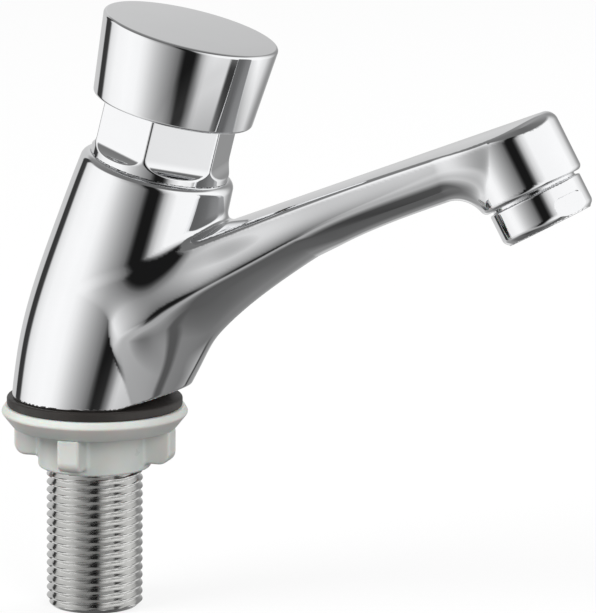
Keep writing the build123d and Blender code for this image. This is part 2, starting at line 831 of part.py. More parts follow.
with BuildPart() as deck_washer:
    with BuildSketch(Plane.XZ):
        with BuildLine():
            Polyline(
                (washer_hole_radius, 0),
                (washer_top_radius, 0),
                (washer_rim_radius, -washer_rim_drop),
                (washer_foot_radius, -washer_thickness),
                (washer_hole_radius, -washer_thickness),
                close=True,
            )
        make_face()
    revolve(axis=Axis.Z)
deck_washer.part.label = "deck_washer"
export_step(deck_washer.part, "parts/deck_washer.step")

with BuildPart() as back_nut:
    with BuildSketch(Plane.XY.offset(-washer_thickness)):
        Circle(nut_hub_radius)
    extrude(amount=-nut_height)
    chamfer(back_nut.edges().sort_by(Axis.Z)[:1], nut_hub_chamfer)
    for side in range(wing_count):
        add(wing.part.rotate(Axis.Z, wing_turn + side * 360 / wing_count))
    with BuildSketch(Plane.XY.offset(-washer_thickness)):
        Circle(thread_radius + thread_gap)
    extrude(amount=-nut_height, mode=Mode.SUBTRACT)
back_nut.part.label = "back_nut"
export_step(back_nut.part, "parts/back_nut.step")

with BuildPart() as aerator_housing:
    with BuildSketch(outlet_side):
        with BuildLine():
            Polyline(
                (aerator_lip_radius, 0),
                (aerator_radius - aerator_chamfer, 0),
                (aerator_radius, aerator_chamfer),
                (aerator_radius, aerator_skirt_height),
                (aerator_spigot_radius, aerator_skirt_height),
                (aerator_spigot_radius, aerator_skirt_height + aerator_spigot_height),
                (aerator_bore_radius, aerator_skirt_height + aerator_spigot_height),
                (aerator_bore_radius, aerator_lip_height),
                (aerator_lip_radius, aerator_lip_height),
                close=True,
            )
        make_face()
    revolve(axis=outlet_axis)
    # Two flats for a wrench
    for facing in (aerator_flat_turn, aerator_flat_turn + 180):
        heading = radians(facing)
        normal = outlet_out * cos(heading) + Vector(0, 1, 0) * sin(heading)
        across = outlet_up.cross(normal)
        flat = Plane(origin=outlet.origin + normal * aerator_flat_half_width, x_dir=across, z_dir=normal)
        with BuildSketch(flat):
            RectangleRounded(aerator_flat_width, 2 * aerator_flat_height, aerator_flat_rounding)
        extrude(amount=aerator_radius, mode=Mode.SUBTRACT)
aerator_housing.part.label = "aerator_housing"
export_step(aerator_housing.part, "parts/aerator_housing.step")

with BuildPart() as aerator_washer:
    with BuildSketch(outlet.offset(aerator_skirt_height + aerator_spigot_height)):
        Circle(aerator_spigot_radius - seat_gap)
        Circle(aerator_washer_bore, mode=Mode.SUBTRACT)
    extrude(amount=aerator_washer_thickness)
aerator_washer.part.label = "aerator_washer"
export_step(aerator_washer.part, "parts/aerator_washer.step")

with BuildPart() as aerator_insert:
    insert_radius = aerator_bore_radius - running_gap
    with BuildSketch(outlet.offset(aerator_lip_height)):
        Circle(insert_radius)
        Circle(insert_radius - insert_wall, mode=Mode.SUBTRACT)
    extrude(amount=insert_height)
    # The flow straightener: two crossing rows of ribs inside the wall
    with BuildSketch(outlet.offset(aerator_lip_height)):
        with GridLocations(insert_rib_pitch, insert_rib_pitch, insert_rib_count, 1):
            Rectangle(insert_rib_width, 2 * insert_radius)
        with GridLocations(insert_rib_pitch, insert_rib_pitch, 1, insert_rib_count):
            Rectangle(2 * insert_radius, insert_rib_width)
        Circle(insert_radius - insert_wall / 2, mode=Mode.INTERSECT)
    extrude(amount=insert_grid_height)
    # The plate that carries the screen, on a core that stands on the ribs
    with BuildSketch(outlet.offset(aerator_lip_height + insert_height - insert_plate_thickness)):
        Circle(insert_radius - insert_wall / 2)
        with PolarLocations(insert_radius / 2, insert_rib_count - 1):
            Rectangle(insert_rib_pitch + insert_rib_width, insert_rib_pitch, mode=Mode.SUBTRACT)
    extrude(amount=insert_plate_thickness)
    with BuildSketch(outlet.offset(aerator_lip_height)):
        Circle(insert_core_radius)
    extrude(amount=insert_height)
aerator_insert.part.label = "aerator_insert"
export_step(aerator_insert.part, "parts/aerator_insert.step")

with BuildPart() as aerator_screen:
    steps = range(-screen_rings, screen_rings + 1)
    spots = [(across * screen_hole_pitch, along * screen_hole_pitch) for across in steps for along in steps]
    kept = [spot for spot in spots if Vector(*spot).length < insert_radius - screen_margin]
    with BuildSketch(outlet.offset(aerator_lip_height + insert_height)):
        Circle(insert_radius)
        with Locations(*kept):
            Rectangle(screen_hole_width, screen_hole_width, mode=Mode.SUBTRACT)
    extrude(amount=screen_thickness)
aerator_screen.part.label = "aerator_screen"
export_step(aerator_screen.part, "parts/aerator_screen.step")
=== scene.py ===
import math
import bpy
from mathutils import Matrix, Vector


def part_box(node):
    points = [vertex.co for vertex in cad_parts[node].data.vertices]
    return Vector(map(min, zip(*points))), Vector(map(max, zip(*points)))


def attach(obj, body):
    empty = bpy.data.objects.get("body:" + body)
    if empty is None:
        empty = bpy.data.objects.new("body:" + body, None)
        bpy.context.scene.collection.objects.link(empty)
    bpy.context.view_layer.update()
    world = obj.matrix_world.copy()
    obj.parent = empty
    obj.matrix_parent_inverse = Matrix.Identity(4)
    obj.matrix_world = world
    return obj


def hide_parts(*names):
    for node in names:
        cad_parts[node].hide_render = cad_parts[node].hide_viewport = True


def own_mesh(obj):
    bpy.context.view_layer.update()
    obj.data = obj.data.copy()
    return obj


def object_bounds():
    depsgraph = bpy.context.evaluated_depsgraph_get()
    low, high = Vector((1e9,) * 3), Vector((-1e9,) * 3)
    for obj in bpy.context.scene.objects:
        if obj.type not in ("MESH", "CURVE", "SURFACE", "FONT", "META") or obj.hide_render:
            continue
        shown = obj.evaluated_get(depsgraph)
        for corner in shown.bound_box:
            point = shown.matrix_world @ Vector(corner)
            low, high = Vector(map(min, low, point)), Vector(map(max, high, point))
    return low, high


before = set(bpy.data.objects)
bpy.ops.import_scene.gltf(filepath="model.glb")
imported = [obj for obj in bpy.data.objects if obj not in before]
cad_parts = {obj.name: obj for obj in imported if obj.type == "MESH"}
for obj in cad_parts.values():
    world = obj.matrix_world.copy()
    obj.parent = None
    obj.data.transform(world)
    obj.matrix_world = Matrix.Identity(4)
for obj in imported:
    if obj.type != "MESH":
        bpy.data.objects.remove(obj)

from types import SimpleNamespace

import bmesh
import bpy
import numpy as np
from mathutils import Matrix, Vector

bl_info = {
    "name": "Push timed tap",
    "version": (1, 0, 0),
    "blender": (4, 5, 0),
    "location": "View3D > Sidebar > Tap",
    "description": "Dresses the frame of a push timed tap: chromed castings, plastic nut, thread and studio",
    "category": "Object",
}

CAD_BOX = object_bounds()
MM = 0.001
TINY = 1e-9
WHITE = (1, 1, 1, 1)
# How far a cutting tool runs past the face that it cuts, in millimetres
OVERRUN = 1.0

# The leaning push axis, the outlet's axis and the spout's top line, in millimetres
PUSH_TILT = math.radians(13.85)
SEAM = np.array([14.9, 0.0, 53.7])
PUSH_UP = np.array([math.sin(PUSH_TILT), 0.0, math.cos(PUSH_TILT)])
PUSH_OUT = np.array([math.cos(PUSH_TILT), 0.0, -math.sin(PUSH_TILT)])
OUTLET_TILT = math.radians(28.96)
OUTLET = np.array([102.9, 0.0, 46.4])
OUTLET_UP = np.array([-math.sin(OUTLET_TILT), 0.0, math.cos(OUTLET_TILT)])
OUTLET_OUT = np.array([math.cos(OUTLET_TILT), 0.0, math.sin(OUTLET_TILT)])
SPOUT_SLOPE = math.radians(21.8)
SPOUT_ALONG = np.array([math.cos(SPOUT_SLOPE), 0.0, math.sin(SPOUT_SLOPE)])
SPOUT_NORMAL = np.array([-math.sin(SPOUT_SLOPE), 0.0, math.cos(SPOUT_SLOPE)])
HEAD_HEIGHT = 23.3
SPOUT_TOP = OUTLET + OUTLET_UP * HEAD_HEIGHT
WATERWAY_MIDDLE = np.array([58.0, 0.0, 46.4])
WATERWAY_LOW = np.array([20.0, 0.0, 28.5])
UP = np.array([0.0, 0.0, 1.0])
OUT = np.array([1.0, 0.0, 0.0])

# Axes that pieces are turned about: origin, heading of the first step, and the way up
PUSH_AXIS = (SEAM, PUSH_OUT, PUSH_UP)
OUTLET_AXIS = (OUTLET, OUTLET_OUT, OUTLET_UP)
DECK_AXIS = (np.zeros(3), OUT, UP)

# Sections of the leaning body: height, lean, tilt, then back, side and front half-widths
BODY_SECTION_SHARES = (
    (0.0, 0.0, 0.0, 1.0, 1.0, 1.0),
    (0.232, 0.215, 0.29, 1.092, 1.041, 1.03),
    (0.484, 0.47, 0.54, 1.108, 1.062, 1.027),
    (0.735, 0.738, 0.78, 1.072, 1.049, 1.019),
    (0.909, 0.909, 0.925, 1.028, 1.022, 1.01),
    (1.0, 1.0, 1.0, 1.0, 1.0, 1.0),
)
# Sections of the spout: distance back from the head, depth, half-width, how far its flanks flare,
# and how far down the belly below a flank begins
SPOUT_SECTION_SHARES = (
    (-0.16, 1.0, 1.0, 0.0, 1.1),
    (0.0, 1.0, 1.0, 0.0, 1.1),
    (0.209, 1.0, 0.86, 0.03, 1.0),
    (0.345, 1.035, 0.79, 0.15, 0.9),
    (0.468, 1.158, 0.79, 0.36, 0.76),
    (0.568, 1.351, 0.83, 0.62, 0.69),
    (0.660, 1.570, 0.93, 0.7, 0.64),
    (0.744, 1.833, 1.09, 0.54, 0.61),
    (0.810, 2.132, 1.30, 0.36, 0.58),
    (0.862, 2.465, 1.49, 0.18, 0.55),
    (0.919, 2.842, 1.55, 0.07, 0.53),
    (0.960, 3.15, 1.49, 0.02, 0.53),
    (1.0, 3.20, 1.34, 0.0, 0.55),
)
# The flare of a flank by the quarter turn from its top edge down to the middle of the underside
FLARE_SHARES = (
    (0.0, 0.0),
    (0.07, 0.09),
    (0.15, 0.26),
    (0.255, 0.475),
    (0.31, 0.44),
    (0.40, 0.29),
    (0.465, 0.19),
    (0.69, 0.02),
    (1.0, 0.0),
)
# Where the belly begins: share of the half-width, what a flare adds to it, its lowest share of the
# depth, and how fast the belly leaves a flank that reaches lower than that
BELLY_EDGE = 0.97
BELLY_EDGE_FLARE = 0.46
BELLY_LOWEST = 0.74
BELLY_FADE = 3
# Cosine of the turn from straight back, at which the head's hollow blend is full
HEAD_BLEND_FULL = 0.9
# How far the body's curve runs past its ends, in shares of its height, and rounds to settle on it
BODY_REACH = (-0.3, 1.5)
BODY_ROUNDS = 6
HEX_SIDES = 6
# Where a thread's crest ends and its root begins, in shares of half a pitch
THREAD_CREST = 0.12
THREAD_ROOT = 0.9

# Room for a mesh: cells round the casting, millimetres round the housing, and for the bonnet two
# places on its axis with the reach across, down and up from them
CASTING_ROOM = 3
HOUSING_ROOM = np.array([4.0, 1.0, 3.0])
BONNET_PLACES = (5, 9)
BONNET_ACROSS = 2
BONNET_DOWN = 9
BONNET_UP = 10
# Blocks of a grid this near to the surface, in widths of a block, are worked out finely
NEAR_BLOCKS = 1.8
# Points nearer to each other than this, in metres, are one
MERGE = 1e-7

# Which inner solids of the frame take which finish
INNER_FINISHES = {
    "stainless": ("stem", "aerator_screen", "piston_circlip"),
    "turned_brass": ("cartridge_barrel", "valve_disc", "cap_lock_nut", "valve_nut"),
    "insert_plastic": ("aerator_insert", "inlet_strainer"),
    "bush_plastic": ("guide_bush", "piston"),
    "seal_rubber": (
        "stem_o_ring",
        "bonnet_o_ring",
        "barrel_o_ring",
        "shank_o_ring",
        "piston_cup_seal",
        "valve_washer",
        "aerator_washer",
    ),
}
# Finishes: their colour, roughness and metallic share, and where they differ from the usual
FINISHES = {
    "polished_chrome": ("chrome", 0.045, 1.0, {"bump": 0.0, "shift": 0.01}),
    "plated_thread": ("plated", 0.12, 1.0, {}),
    "turned_brass": ("brass", 0.22, 1.0, {}),
    "stainless": ("steel", 0.2, 1.0, {}),
    "milky_plastic": ("plastic", 0.34, 0.0, {"Subsurface_Weight": 0.35, "Subsurface_Scale": 0.004}),
    "insert_plastic": ("insert", 0.35, 0.0, {}),
    "bush_plastic": ("bush", 0.4, 0.0, {}),
    "gasket_rubber": ("gasket", 0.5, 0.0, {"shift": 0.2, "bump": 0.15}),
    "seal_rubber": ("seal", 0.45, 0.0, {}),
}
# The part of a noise's range that a speckle stretches to its own
NOISE_RANGE = (0.3, 0.7)
# Scale and detail of the noise in a finish's roughness, tone and bump
ROUGH_GRAIN = (150.0, 4.0)
TONE_GRAIN = (90.0, 3.0)
BUMP_GRAIN = (900.0, 2.0)
# How far a finish's roughness varies, as a share, and the height of its bumps in metres
ROUGH_SPREAD = 0.2
BUMP_HEIGHT = 0.0002

# Lamps: place in metres, width, height and watts
LAMPS = {
    "key": ((-0.7, -0.8, 0.9), 0.8, 0.8, 14),
    "fill": ((0.9, -0.9, 0.5), 0.6, 0.9, 8),
    "back": ((0.2, 1.0, 1.0), 1.2, 0.6, 8),
}
# The floor: half its width in millimetres, its grey, and how far its own white covers that
FLOOR_REACH = 3000.0
FLOOR_GREY = (0.8, 0.8, 0.8, 1)
FLOOR_COVER = 0.8

# Greys round the light tent: heading in degrees from the front, and the grey that is seen there
TENT_WALL = (
    (-180, 0.56),
    (-174, 0.62),
    (-168, 0.74),
    (-156, 0.8),
    (-150, 0.78),
    (-144, 0.77),
    (-122, 0.77),
    (-119, 0.22),
    (-106, 0.24),
    (-102, 0.84),
    (-96, 0.9),
    (-84, 0.96),
    (-60, 0.985),
    (-44, 0.97),
    (-36, 0.92),
    (-30, 0.86),
    (-24, 0.79),
    (-12, 0.66),
    (0, 0.53),
    (7, 0.43),
    (12, 0.24),
    (15, 0.12),
    (27, 0.12),
    (32, 0.34),
    (37, 0.66),
    (44, 0.84),
    (56, 0.97),
    (130, 0.985),
    (150, 0.86),
    (165, 0.62),
    (172, 0.55),
    (180, 0.56),
)
TENT_LOW = (
    (-180, 0.56),
    (-168, 0.78),
    (-156, 0.93),
    (-144, 0.8),
    (-122, 0.77),
    (-119, 0.22),
    (-106, 0.24),
    (-102, 0.82),
    (-84, 0.93),
    (-44, 0.95),
    (-12, 0.75),
    (0, 0.64),
    (12, 0.42),
    (16, 0.2),
    (27, 0.2),
    (32, 0.4),
    (36, 0.51),
    (42, 0.74),
    (48, 0.82),
    (78, 0.84),
    (82, 0.24),
    (91, 0.22),
    (97, 0.38),
    (103, 0.6),
    (112, 0.68),
    (130, 0.7),
    (155, 0.7),
    (158, 0.28),
    (162, 0.28),
    (165, 0.5),
    (180, 0.56),
)
TENT_FLOOR = (
    (-180, 0.5),
    (-110, 0.6),
    (-80, 0.84),
    (-62, 0.86),
    (-30, 0.74),
    (-16, 0.69),
    (30, 0.64),
    (67, 0.61),
    (84, 0.58),
    (91, 0.33),
    (99, 0.33),
    (106, 0.5),
    (148, 0.45),
    (180, 0.5),
)
TENT_NADIR = (
    (-180, 0.36),
    (-80, 0.42),
    (-30, 0.34),
    (12, 0.26),
    (22, 0.26),
    (60, 0.34),
    (180, 0.36),
)
TENT_CEILING = ((-180, 0.6), (-120, 0.5), (-60, 0.45), (60, 0.4), (120, 0.45), (180, 0.6))
# Bands above and below the wall, with the rises in degrees over which each takes over
TENT_BANDS = (
    (TENT_LOW, -24, -30),
    (TENT_FLOOR, -32, -42),
    (TENT_NADIR, -50, -66),
    (TENT_CEILING, 32, 42),
)


def length(label, description, millimetres):
    """A size property, kept in metres and shown in the scene's unit of length."""
    return bpy.props.FloatProperty(
        name=label, description=description, default=millimetres * MM, min=0.0, precision=5, unit="LENGTH"
    )


def angle(label, description, degrees):
    """An angle property."""
    return bpy.props.FloatProperty(
        name=label, description=description, default=math.radians(degrees), subtype="ANGLE"
    )


def factor(label, description, value):
    """A property without a unit."""
    return bpy.props.FloatProperty(name=label, description=description, default=value, min=0.0)


def count(label, description, value):
    """A number of like things."""
    return bpy.props.IntProperty(name=label, description=description, default=value, min=1)


def tint(label, description, red, green, blue):
    """A colour property."""
    return bpy.props.FloatVectorProperty(
        name=label, description=description, default=(red, green, blue), min=0.0, max=1.0, subtype="COLOR"
    )


class CastingSizes(bpy.types.PropertyGroup):
    """Sizes of the chromed casting"""

    foot: length("Foot", "Height of the foot above the deck", 2.0)
    foot_radius: length("Foot radius", "Half-width of the body at its foot", 18.0)
    foot_rounding: length("Foot rounding", "Rounding round the foot", 0.4)
    shoulder_radius: length("Shoulder radius", "Half-width of the body at the seam", 16.6)
    shoulder_rounding: length("Shoulder rounding", "Rounding at the seam", 1.6)
    toe_start: length("Toe start", "Where the foot begins to rise towards the spout", 11.0)
    toe_slope: angle("Toe slope", "Rise of the foot towards the spout", 19.3)
    spout_length: length("Spout length", "Along its top line, back to the body", 98.8)
    spout_depth: length("Spout depth", "Depth at the head", 11.4)
    spout_half_width: length("Spout half-width", "Half-width at the head", 11.4)
    crown: factor("Crown", "Rise of the top as a share of its half-width", 0.15)
    roundness: factor("Roundness", "Power of the curve under the spout, where 2 is an ellipse", 2.5)
    keel: factor("Keel", "Half-width of the belly at its lowest, as a share of the half-width", 0.3)
    belly_rounding: length("Belly rounding", "Along the spout's lower edges", 2.5)
    edge_rounding: length("Edge rounding", "Along the spout's top edges", 1.0)
    tip_rounding: length("Tip rounding", "Along the top edge at the spout's tip", 2.2)
    rim_rounding: length("Rim rounding", "Round the head's lower rim", 1.1)
    head_bottom: length("Head bottom", "Lower rim of the head above the outlet", 8.0)
    head_blend: length("Head blend", "Hollow curve where the head leaves the spout's underside", 6.0)
    neck_blend: length("Neck blend", "Hollow curve where the spout's top meets the body", 2.4)
    flank_blend: length("Flank blend", "Hollow curve where the spout's flanks meet the body", 24.0)
    under_blend: length("Under blend", "Hollow curve where the spout's underside meets the body", 6.0)
    flank_heading: angle("Flank heading", "Turn of the flanks away from the side, at their root", 8.0)
    bonnet_bore: length("Bonnet bore", "Radius of the bonnet's thread", 12.05)
    bonnet_bore_depth: length("Bonnet bore depth", "Below the seam", 8.6)
    barrel_bore: length("Barrel bore", "Radius round the cartridge", 11.1)
    barrel_foot: length("Barrel foot", "Foot of the barrel's bore below the seam", 30.0)
    gallery_radius: length("Gallery radius", "Round the barrel's windows", 13.2)
    gallery_top: length("Gallery top", "Below the seam", 18.0)
    gallery_foot: length("Gallery foot", "Below the seam", 25.5)
    chamber_radius: length("Chamber radius", "Round the valve disc", 10.0)
    chamber_foot: length("Chamber foot", "Below the seam", 40.8)
    throat_radius: length("Throat radius", "At the foot of the chamber's cone", 6.8)
    throat_length: length("Throat length", "Of the chamber's cone", 2.2)
    shank_bore: length("Shank bore", "Radius of the shank's thread", 10.5275)
    drill_height: length("Drill height", "Drilling above the shank", 4.0)
    waterway_radius: length("Waterway radius", "Along the spout", 3.4)
    waterway_end: length("Waterway end", "Where it meets the outlet's axis, above the outlet's plane", 15.6)
    cell: length("Mesh size", "Edge of the mesh's quads", 0.52)


class CapSizes(bpy.types.PropertyGroup):
    """Sizes of the push cap, measured along the push axis from the seam"""

    rim_level: length("Rim level", "Lower rim above the seam", 12.75)
    height: length("Height", "From the rim to the top", 18.0)
    top_radius: length("Top radius", "Radius at the top", 19.14)
    rim_radius: length("Rim radius", "Radius at the rim", 17.4)
    top_rounding: length("Top rounding", "Rounding of the top edge", 0.7)
    rim_rounding: length("Rim rounding", "Rounding of the rim", 1.2)
    wall: length("Wall", "Thickness of the skirt", 1.45)
    roof: length("Roof", "Thickness of the top", 2.2)
    boss_radius: length("Boss radius", "Boss that takes the stem", 6.0)
    boss_length: length("Boss length", "Below the roof", 4.5)
    stem_radius: length("Stem radius", "Threaded hole for the stem", 2.95)
    hole_roof: length("Hole roof", "The hole runs this far into the roof", 1.0)
    lip_rounding: length("Lip rounding", "Inner edge of the rim", 0.2)
    inner_rounding: length("Inner rounding", "Where skirt and boss meet the roof", 0.8)
    boss_rounding: length("Boss rounding", "Lower edge of the boss", 0.3)
    corner_steps: count("Corner steps", "Steps round each rounding", 10)
    segments: count("Segments", "Steps round the cap", 192)


class BonnetSizes(bpy.types.PropertyGroup):
    """Sizes of the hexagonal bonnet, measured along the push axis from the seam"""

    collar_radius: length("Collar radius", "Thin round collar on the seam", 15.05)
    collar_height: length("Collar height", "Thickness of the collar", 1.2)
    half_width: length("Half-width", "From the axis to a flat", 13.05)
    turn: angle("Turn", "Heading of the first flat", 5.8)
    top: length("Top", "Height of the hexagon's top", 13.5)
    chamfer: length("Chamfer", "Drop of the chamfer at the top corners", 1.0)
    blend: length("Blend", "Hollow curve between the flats and the collar", 3.0)
    edge_rounding: length("Edge rounding", "Of the corners between the flats", 0.25)
    spigot_radius: length("Spigot radius", "Threaded spigot below the seam", 12.0)
    spigot_depth: length("Spigot depth", "Below the seam", 7.0)
    cavity_radius: length("Cavity radius", "Inside the spigot", 8.5)
    cavity_top: length("Cavity top", "Above the seam", 0.8)
    stem_hole: length("Stem hole", "Radius of the hole for the stem", 3.3)
    bush_hole: length("Bush hole", "Radius of the hole for the guide bush", 5.05)
    web_top: length("Web top", "Seat of the stem's seal above the seam", 2.6)
    pocket_inner: length("Pocket inner", "Inner radius of the spring's pocket", 8.2)
    pocket_outer: length("Pocket outer", "Outer radius of the spring's pocket", 10.7)
    pocket_floor: length("Pocket floor", "Floor of the spring's pocket above the seam", 8.0)
    seal_foot: length("Seal foot", "Foot of the seal's groove below the seam", 2.6)
    seal_top: length("Seal top", "Top of the seal's groove below the seam", 0.6)
    seal_depth: length("Seal depth", "Depth of the seal's groove", 1.4)
    cell: length("Mesh size", "Edge of the mesh's quads", 0.26)


class SpringSizes(bpy.types.PropertyGroup):
    """Sizes of the return spring"""

    wire_radius: length("Wire radius", "Radius of the wire", 0.65)
    mean_radius: length("Mean radius", "From the push axis to the middle of the wire", 9.45)
    length: length("Length", "From its seat to the cap's ceiling, at rest", 20.55)
    turns: factor("Turns", "Turns from end to end", 5.5)
    dead_turns: factor("Dead turns", "Flat turns at each end", 0.62)
    travel: length("Travel", "How far the cap presses it", 6.0)
    steps: count("Steps", "Steps along the wire", 320)
    facets: count("Facets", "Steps round the wire", 12)


class FixingSizes(bpy.types.PropertyGroup):
    """Sizes of the pieces that hold the tap to its deck"""

    gasket_thickness: length("Gasket thickness", "Rubber ring under the foot", 2.0)
    gasket_radius: length("Gasket radius", "Outer radius", 19.1)
    gasket_hole: length("Gasket hole", "Radius of its hole", 10.8)
    gasket_rounding: length("Gasket rounding", "Of its outer edges", 0.5)
    washer_thickness: length("Washer thickness", "Plastic washer under the deck", 4.5)
    washer_top_radius: length("Washer top radius", "Radius at its upper face", 19.6)
    washer_rim_radius: length("Washer rim radius", "Largest radius", 20.35)
    washer_rim_drop: length("Washer rim drop", "Its rim below its upper face", 1.4)
    washer_foot_radius: length("Washer foot radius", "Radius at its lower face", 17.9)
    washer_hole: length("Washer hole", "Radius of its hole", 11.0)
    washer_hole_rounding: length("Washer hole rounding", "Of the hole's edges", 0.3)
    nut_height: length("Nut height", "Height of the nut's hub", 9.0)
    nut_hub_radius: length("Hub radius", "Radius of the nut's hub", 12.3)
    nut_hole: length("Nut hole", "Radius of its thread", 10.53)
    nut_rounding: length("Nut rounding", "Of its moulded edges", 0.6)
    wing_count: count("Wings", "Wings round the nut", 4)
    wing_reach: length("Wing reach", "From the axis", 17.9)
    wing_thickness: length("Wing thickness", "Across a wing", 4.9)
    wing_height: length("Wing height", "Down from the washer", 7.4)
    wing_rounding: length("Wing rounding", "Of its lower outer corner", 2.6)
    wing_blend: length("Wing blend", "Hollow curve where a wing leaves the hub", 0.9)
    wing_turn: angle("Wing turn", "Heading of the first wing", -86.7)
    cell: length("Mesh size", "Edge of the mesh's quads", 0.45)


class ShankSizes(bpy.types.PropertyGroup):
    """Sizes of the threaded shank, a G1/2 thread"""

    top: length("Top", "Its upper end, inside the casting, above the deck", 10.0)
    reach: length("Reach", "Its lower end below the deck", 44.5)
    major_radius: length("Major radius", "At the thread's crests", 10.4775)
    pitch: length("Pitch", "From crest to crest", 1.814)
    thread_depth: length("Thread depth", "From crest to root", 1.162)
    bore: length("Bore", "Radius of its bore", 6.5)
    socket: length("Socket", "Radius of the strainer's socket", 7.6)
    socket_depth: length("Socket depth", "Up from the lower end", 10.5)
    tip_chamfer: length("Tip chamfer", "At the lower end", 1.1)
    mouth_chamfer: length("Mouth chamfer", "At the upper end", 0.5)
    seal_foot: length("Seal foot", "Foot of the seal's groove above the deck", 3.0)
    seal_top: length("Seal top", "Top of the seal's groove above the deck", 5.0)
    seal_depth: length("Seal depth", "Depth of the seal's groove", 1.4)
    thread_steps: count("Thread steps", "Steps along one pitch", 14)
    segments: count("Segments", "Steps round the shank", 96)


class OutletSizes(bpy.types.PropertyGroup):
    """Sizes of the outlet's housing, measured up from the outlet's plane"""

    radius: length("Radius", "Outer radius", 10.35)
    chamfer: length("Chamfer", "Of the lower rim", 1.1)
    skirt: length("Skirt", "Height of the part that shows", 7.4)
    spigot_radius: length("Spigot radius", "Threaded part inside the head", 9.4)
    spigot_height: length("Spigot height", "Above the skirt", 5.6)
    bore: length("Bore", "Radius of its bore", 8.2)
    lip_radius: length("Lip radius", "Inner radius of the lower lip", 7.6)
    lip_height: length("Lip height", "Thickness of the lower lip", 0.9)
    flat_half_width: length("Flat half-width", "From the axis to a wrench flat", 9.65)
    flat_height: length("Flat height", "Height of a flat", 4.4)
    flat_width: length("Flat width", "Width of a flat", 7.6)
    flat_rounding: length("Flat rounding", "Of a flat's corners", 1.5)
    flat_turn: angle("Flat turn", "Heading of the first flat", -33.0)
    edge_rounding: length("Edge rounding", "Of its edges", 0.4)
    socket_radius: length("Socket radius", "Socket in the head", 9.45)
    socket_top: length("Socket top", "Top of the socket", 14.0)
    chamber_radius: length("Chamber radius", "Above the socket", 6.6)
    chamber_height: length("Chamber height", "Above the socket", 3.6)
    cell: length("Mesh size", "Edge of the mesh's quads", 0.27)


class FinishColours(bpy.types.PropertyGroup):
    """Colours of the finishes"""

    chrome: tint("Chrome", "Polished chromium plate", 0.87, 0.875, 0.885)
    plated: tint("Plated brass", "Bright plate on the thread", 0.70, 0.70, 0.69)
    brass: tint("Brass", "Turned brass", 0.72, 0.52, 0.25)
    steel: tint("Steel", "Stainless steel", 0.58, 0.58, 0.57)
    plastic: tint("Milky plastic", "Back nut and washer", 0.66, 0.675, 0.645)
    insert: tint("Insert plastic", "Outlet insert and strainer", 0.70, 0.70, 0.68)
    bush: tint("Bush plastic", "Bush and piston", 0.30, 0.31, 0.32)
    gasket: tint("Gasket rubber", "Ring under the foot", 0.022, 0.019, 0.017)
    seal: tint("Seal rubber", "Rings and cup", 0.02, 0.02, 0.02)


class StudioSettings(bpy.types.PropertyGroup):
    """Camera and lights"""

    azimuth: angle("Azimuth", "Heading of the camera round the tap", 20.27)
    elevation: angle("Elevation", "Height of the camera above the horizon", 11.01)
    roll: angle("Roll", "Turn of the camera about its view", 0.46)
    distance: length("Distance", "From the camera to its target", 1106.3)
    target_out: length("Target out", "Camera's target along the spout", 46.87)
    target_up: length("Target up", "Camera's target above the deck", 25.12)
    lens: factor("Lens", "Focal length in millimetres", 304.72)
    fill: factor("Fill", "Strength of the surrounding light", 0.55)
    tent_radius: length("Tent radius", "Light tent round the tap, seen only in reflections", 1600)
    tent_light: factor("Tent light", "Strength of the tent's white", 1.12)


def sizes_of(group):
    """A plain copy of a property group's values, with its lengths in millimetres."""
    plain = SimpleNamespace()
    for name in type(group).__annotations__:
        value = getattr(group, name)
        unit = getattr(group.bl_rna.properties[name], "unit", "NONE")
        setattr(plain, name, value / MM if unit == "LENGTH" else value)
    return plain


def natural_spline(table):
    """A smooth curve through the rows of a table: returns a function of the first column."""
    rows = np.array(table, float)
    x, y = rows[:, 0], rows[:, 1:]
    step = np.diff(x)
    last = len(x) - 1
    system = np.eye(last + 1)
    right = np.zeros((last + 1, y.shape[1]))
    for row in range(1, last):
        system[row, row - 1 : row + 2] = step[row - 1], 2 * (step[row - 1] + step[row]), step[row]
        right[row] = 6 * ((y[row + 1] - y[row]) / step[row] - (y[row] - y[row - 1]) / step[row - 1])
    bend = np.linalg.solve(system, right)

    def value(at):
        at = np.clip(at, x[0], x[-1])
        cell = np.clip(np.searchsorted(x, at) - 1, 0, last - 1)
        h = step[cell][:, None]
        low = (x[cell + 1] - at)[:, None]
        high = (at - x[cell])[:, None]
        curved = (bend[cell] * low**3 + bend[cell + 1] * high**3) / (6 * h)
        left = (y[cell] / h - bend[cell] * h / 6) * low
        return curved + left + (y[cell + 1] / h - bend[cell + 1] * h / 6) * high

    return value


BODY_CURVE = natural_spline(BODY_SECTION_SHARES)
SPOUT_CURVE = natural_spline(SPOUT_SECTION_SHARES)
FLARE_CURVE = natural_spline(FLARE_SHARES)


def along(points, origin, direction):
    """Distance of each point from an origin, measured along a direction."""
    return (points - origin) @ direction


def smooth_step(share, height=1.0):
    """Rises evenly from nothing to a height as a share goes from 0 to 1, level at both ends."""
    return height * share**2 * (3 - 2 * share)


def round_join(a, b, radius):
    """Union of two distance fields with a hollow blend of the given radius."""
    inside = np.maximum(np.minimum(a, b), radius)
    return inside - np.hypot(np.maximum(radius - a, 0), np.maximum(radius - b, 0))


def round_meet(a, b, radius):
    """Intersection of two distance fields with its edge rounded to the given radius."""
    outside = np.minimum(np.maximum(a, b), -radius)
    return outside + np.hypot(np.maximum(a + radius, 0), np.maximum(b + radius, 0))


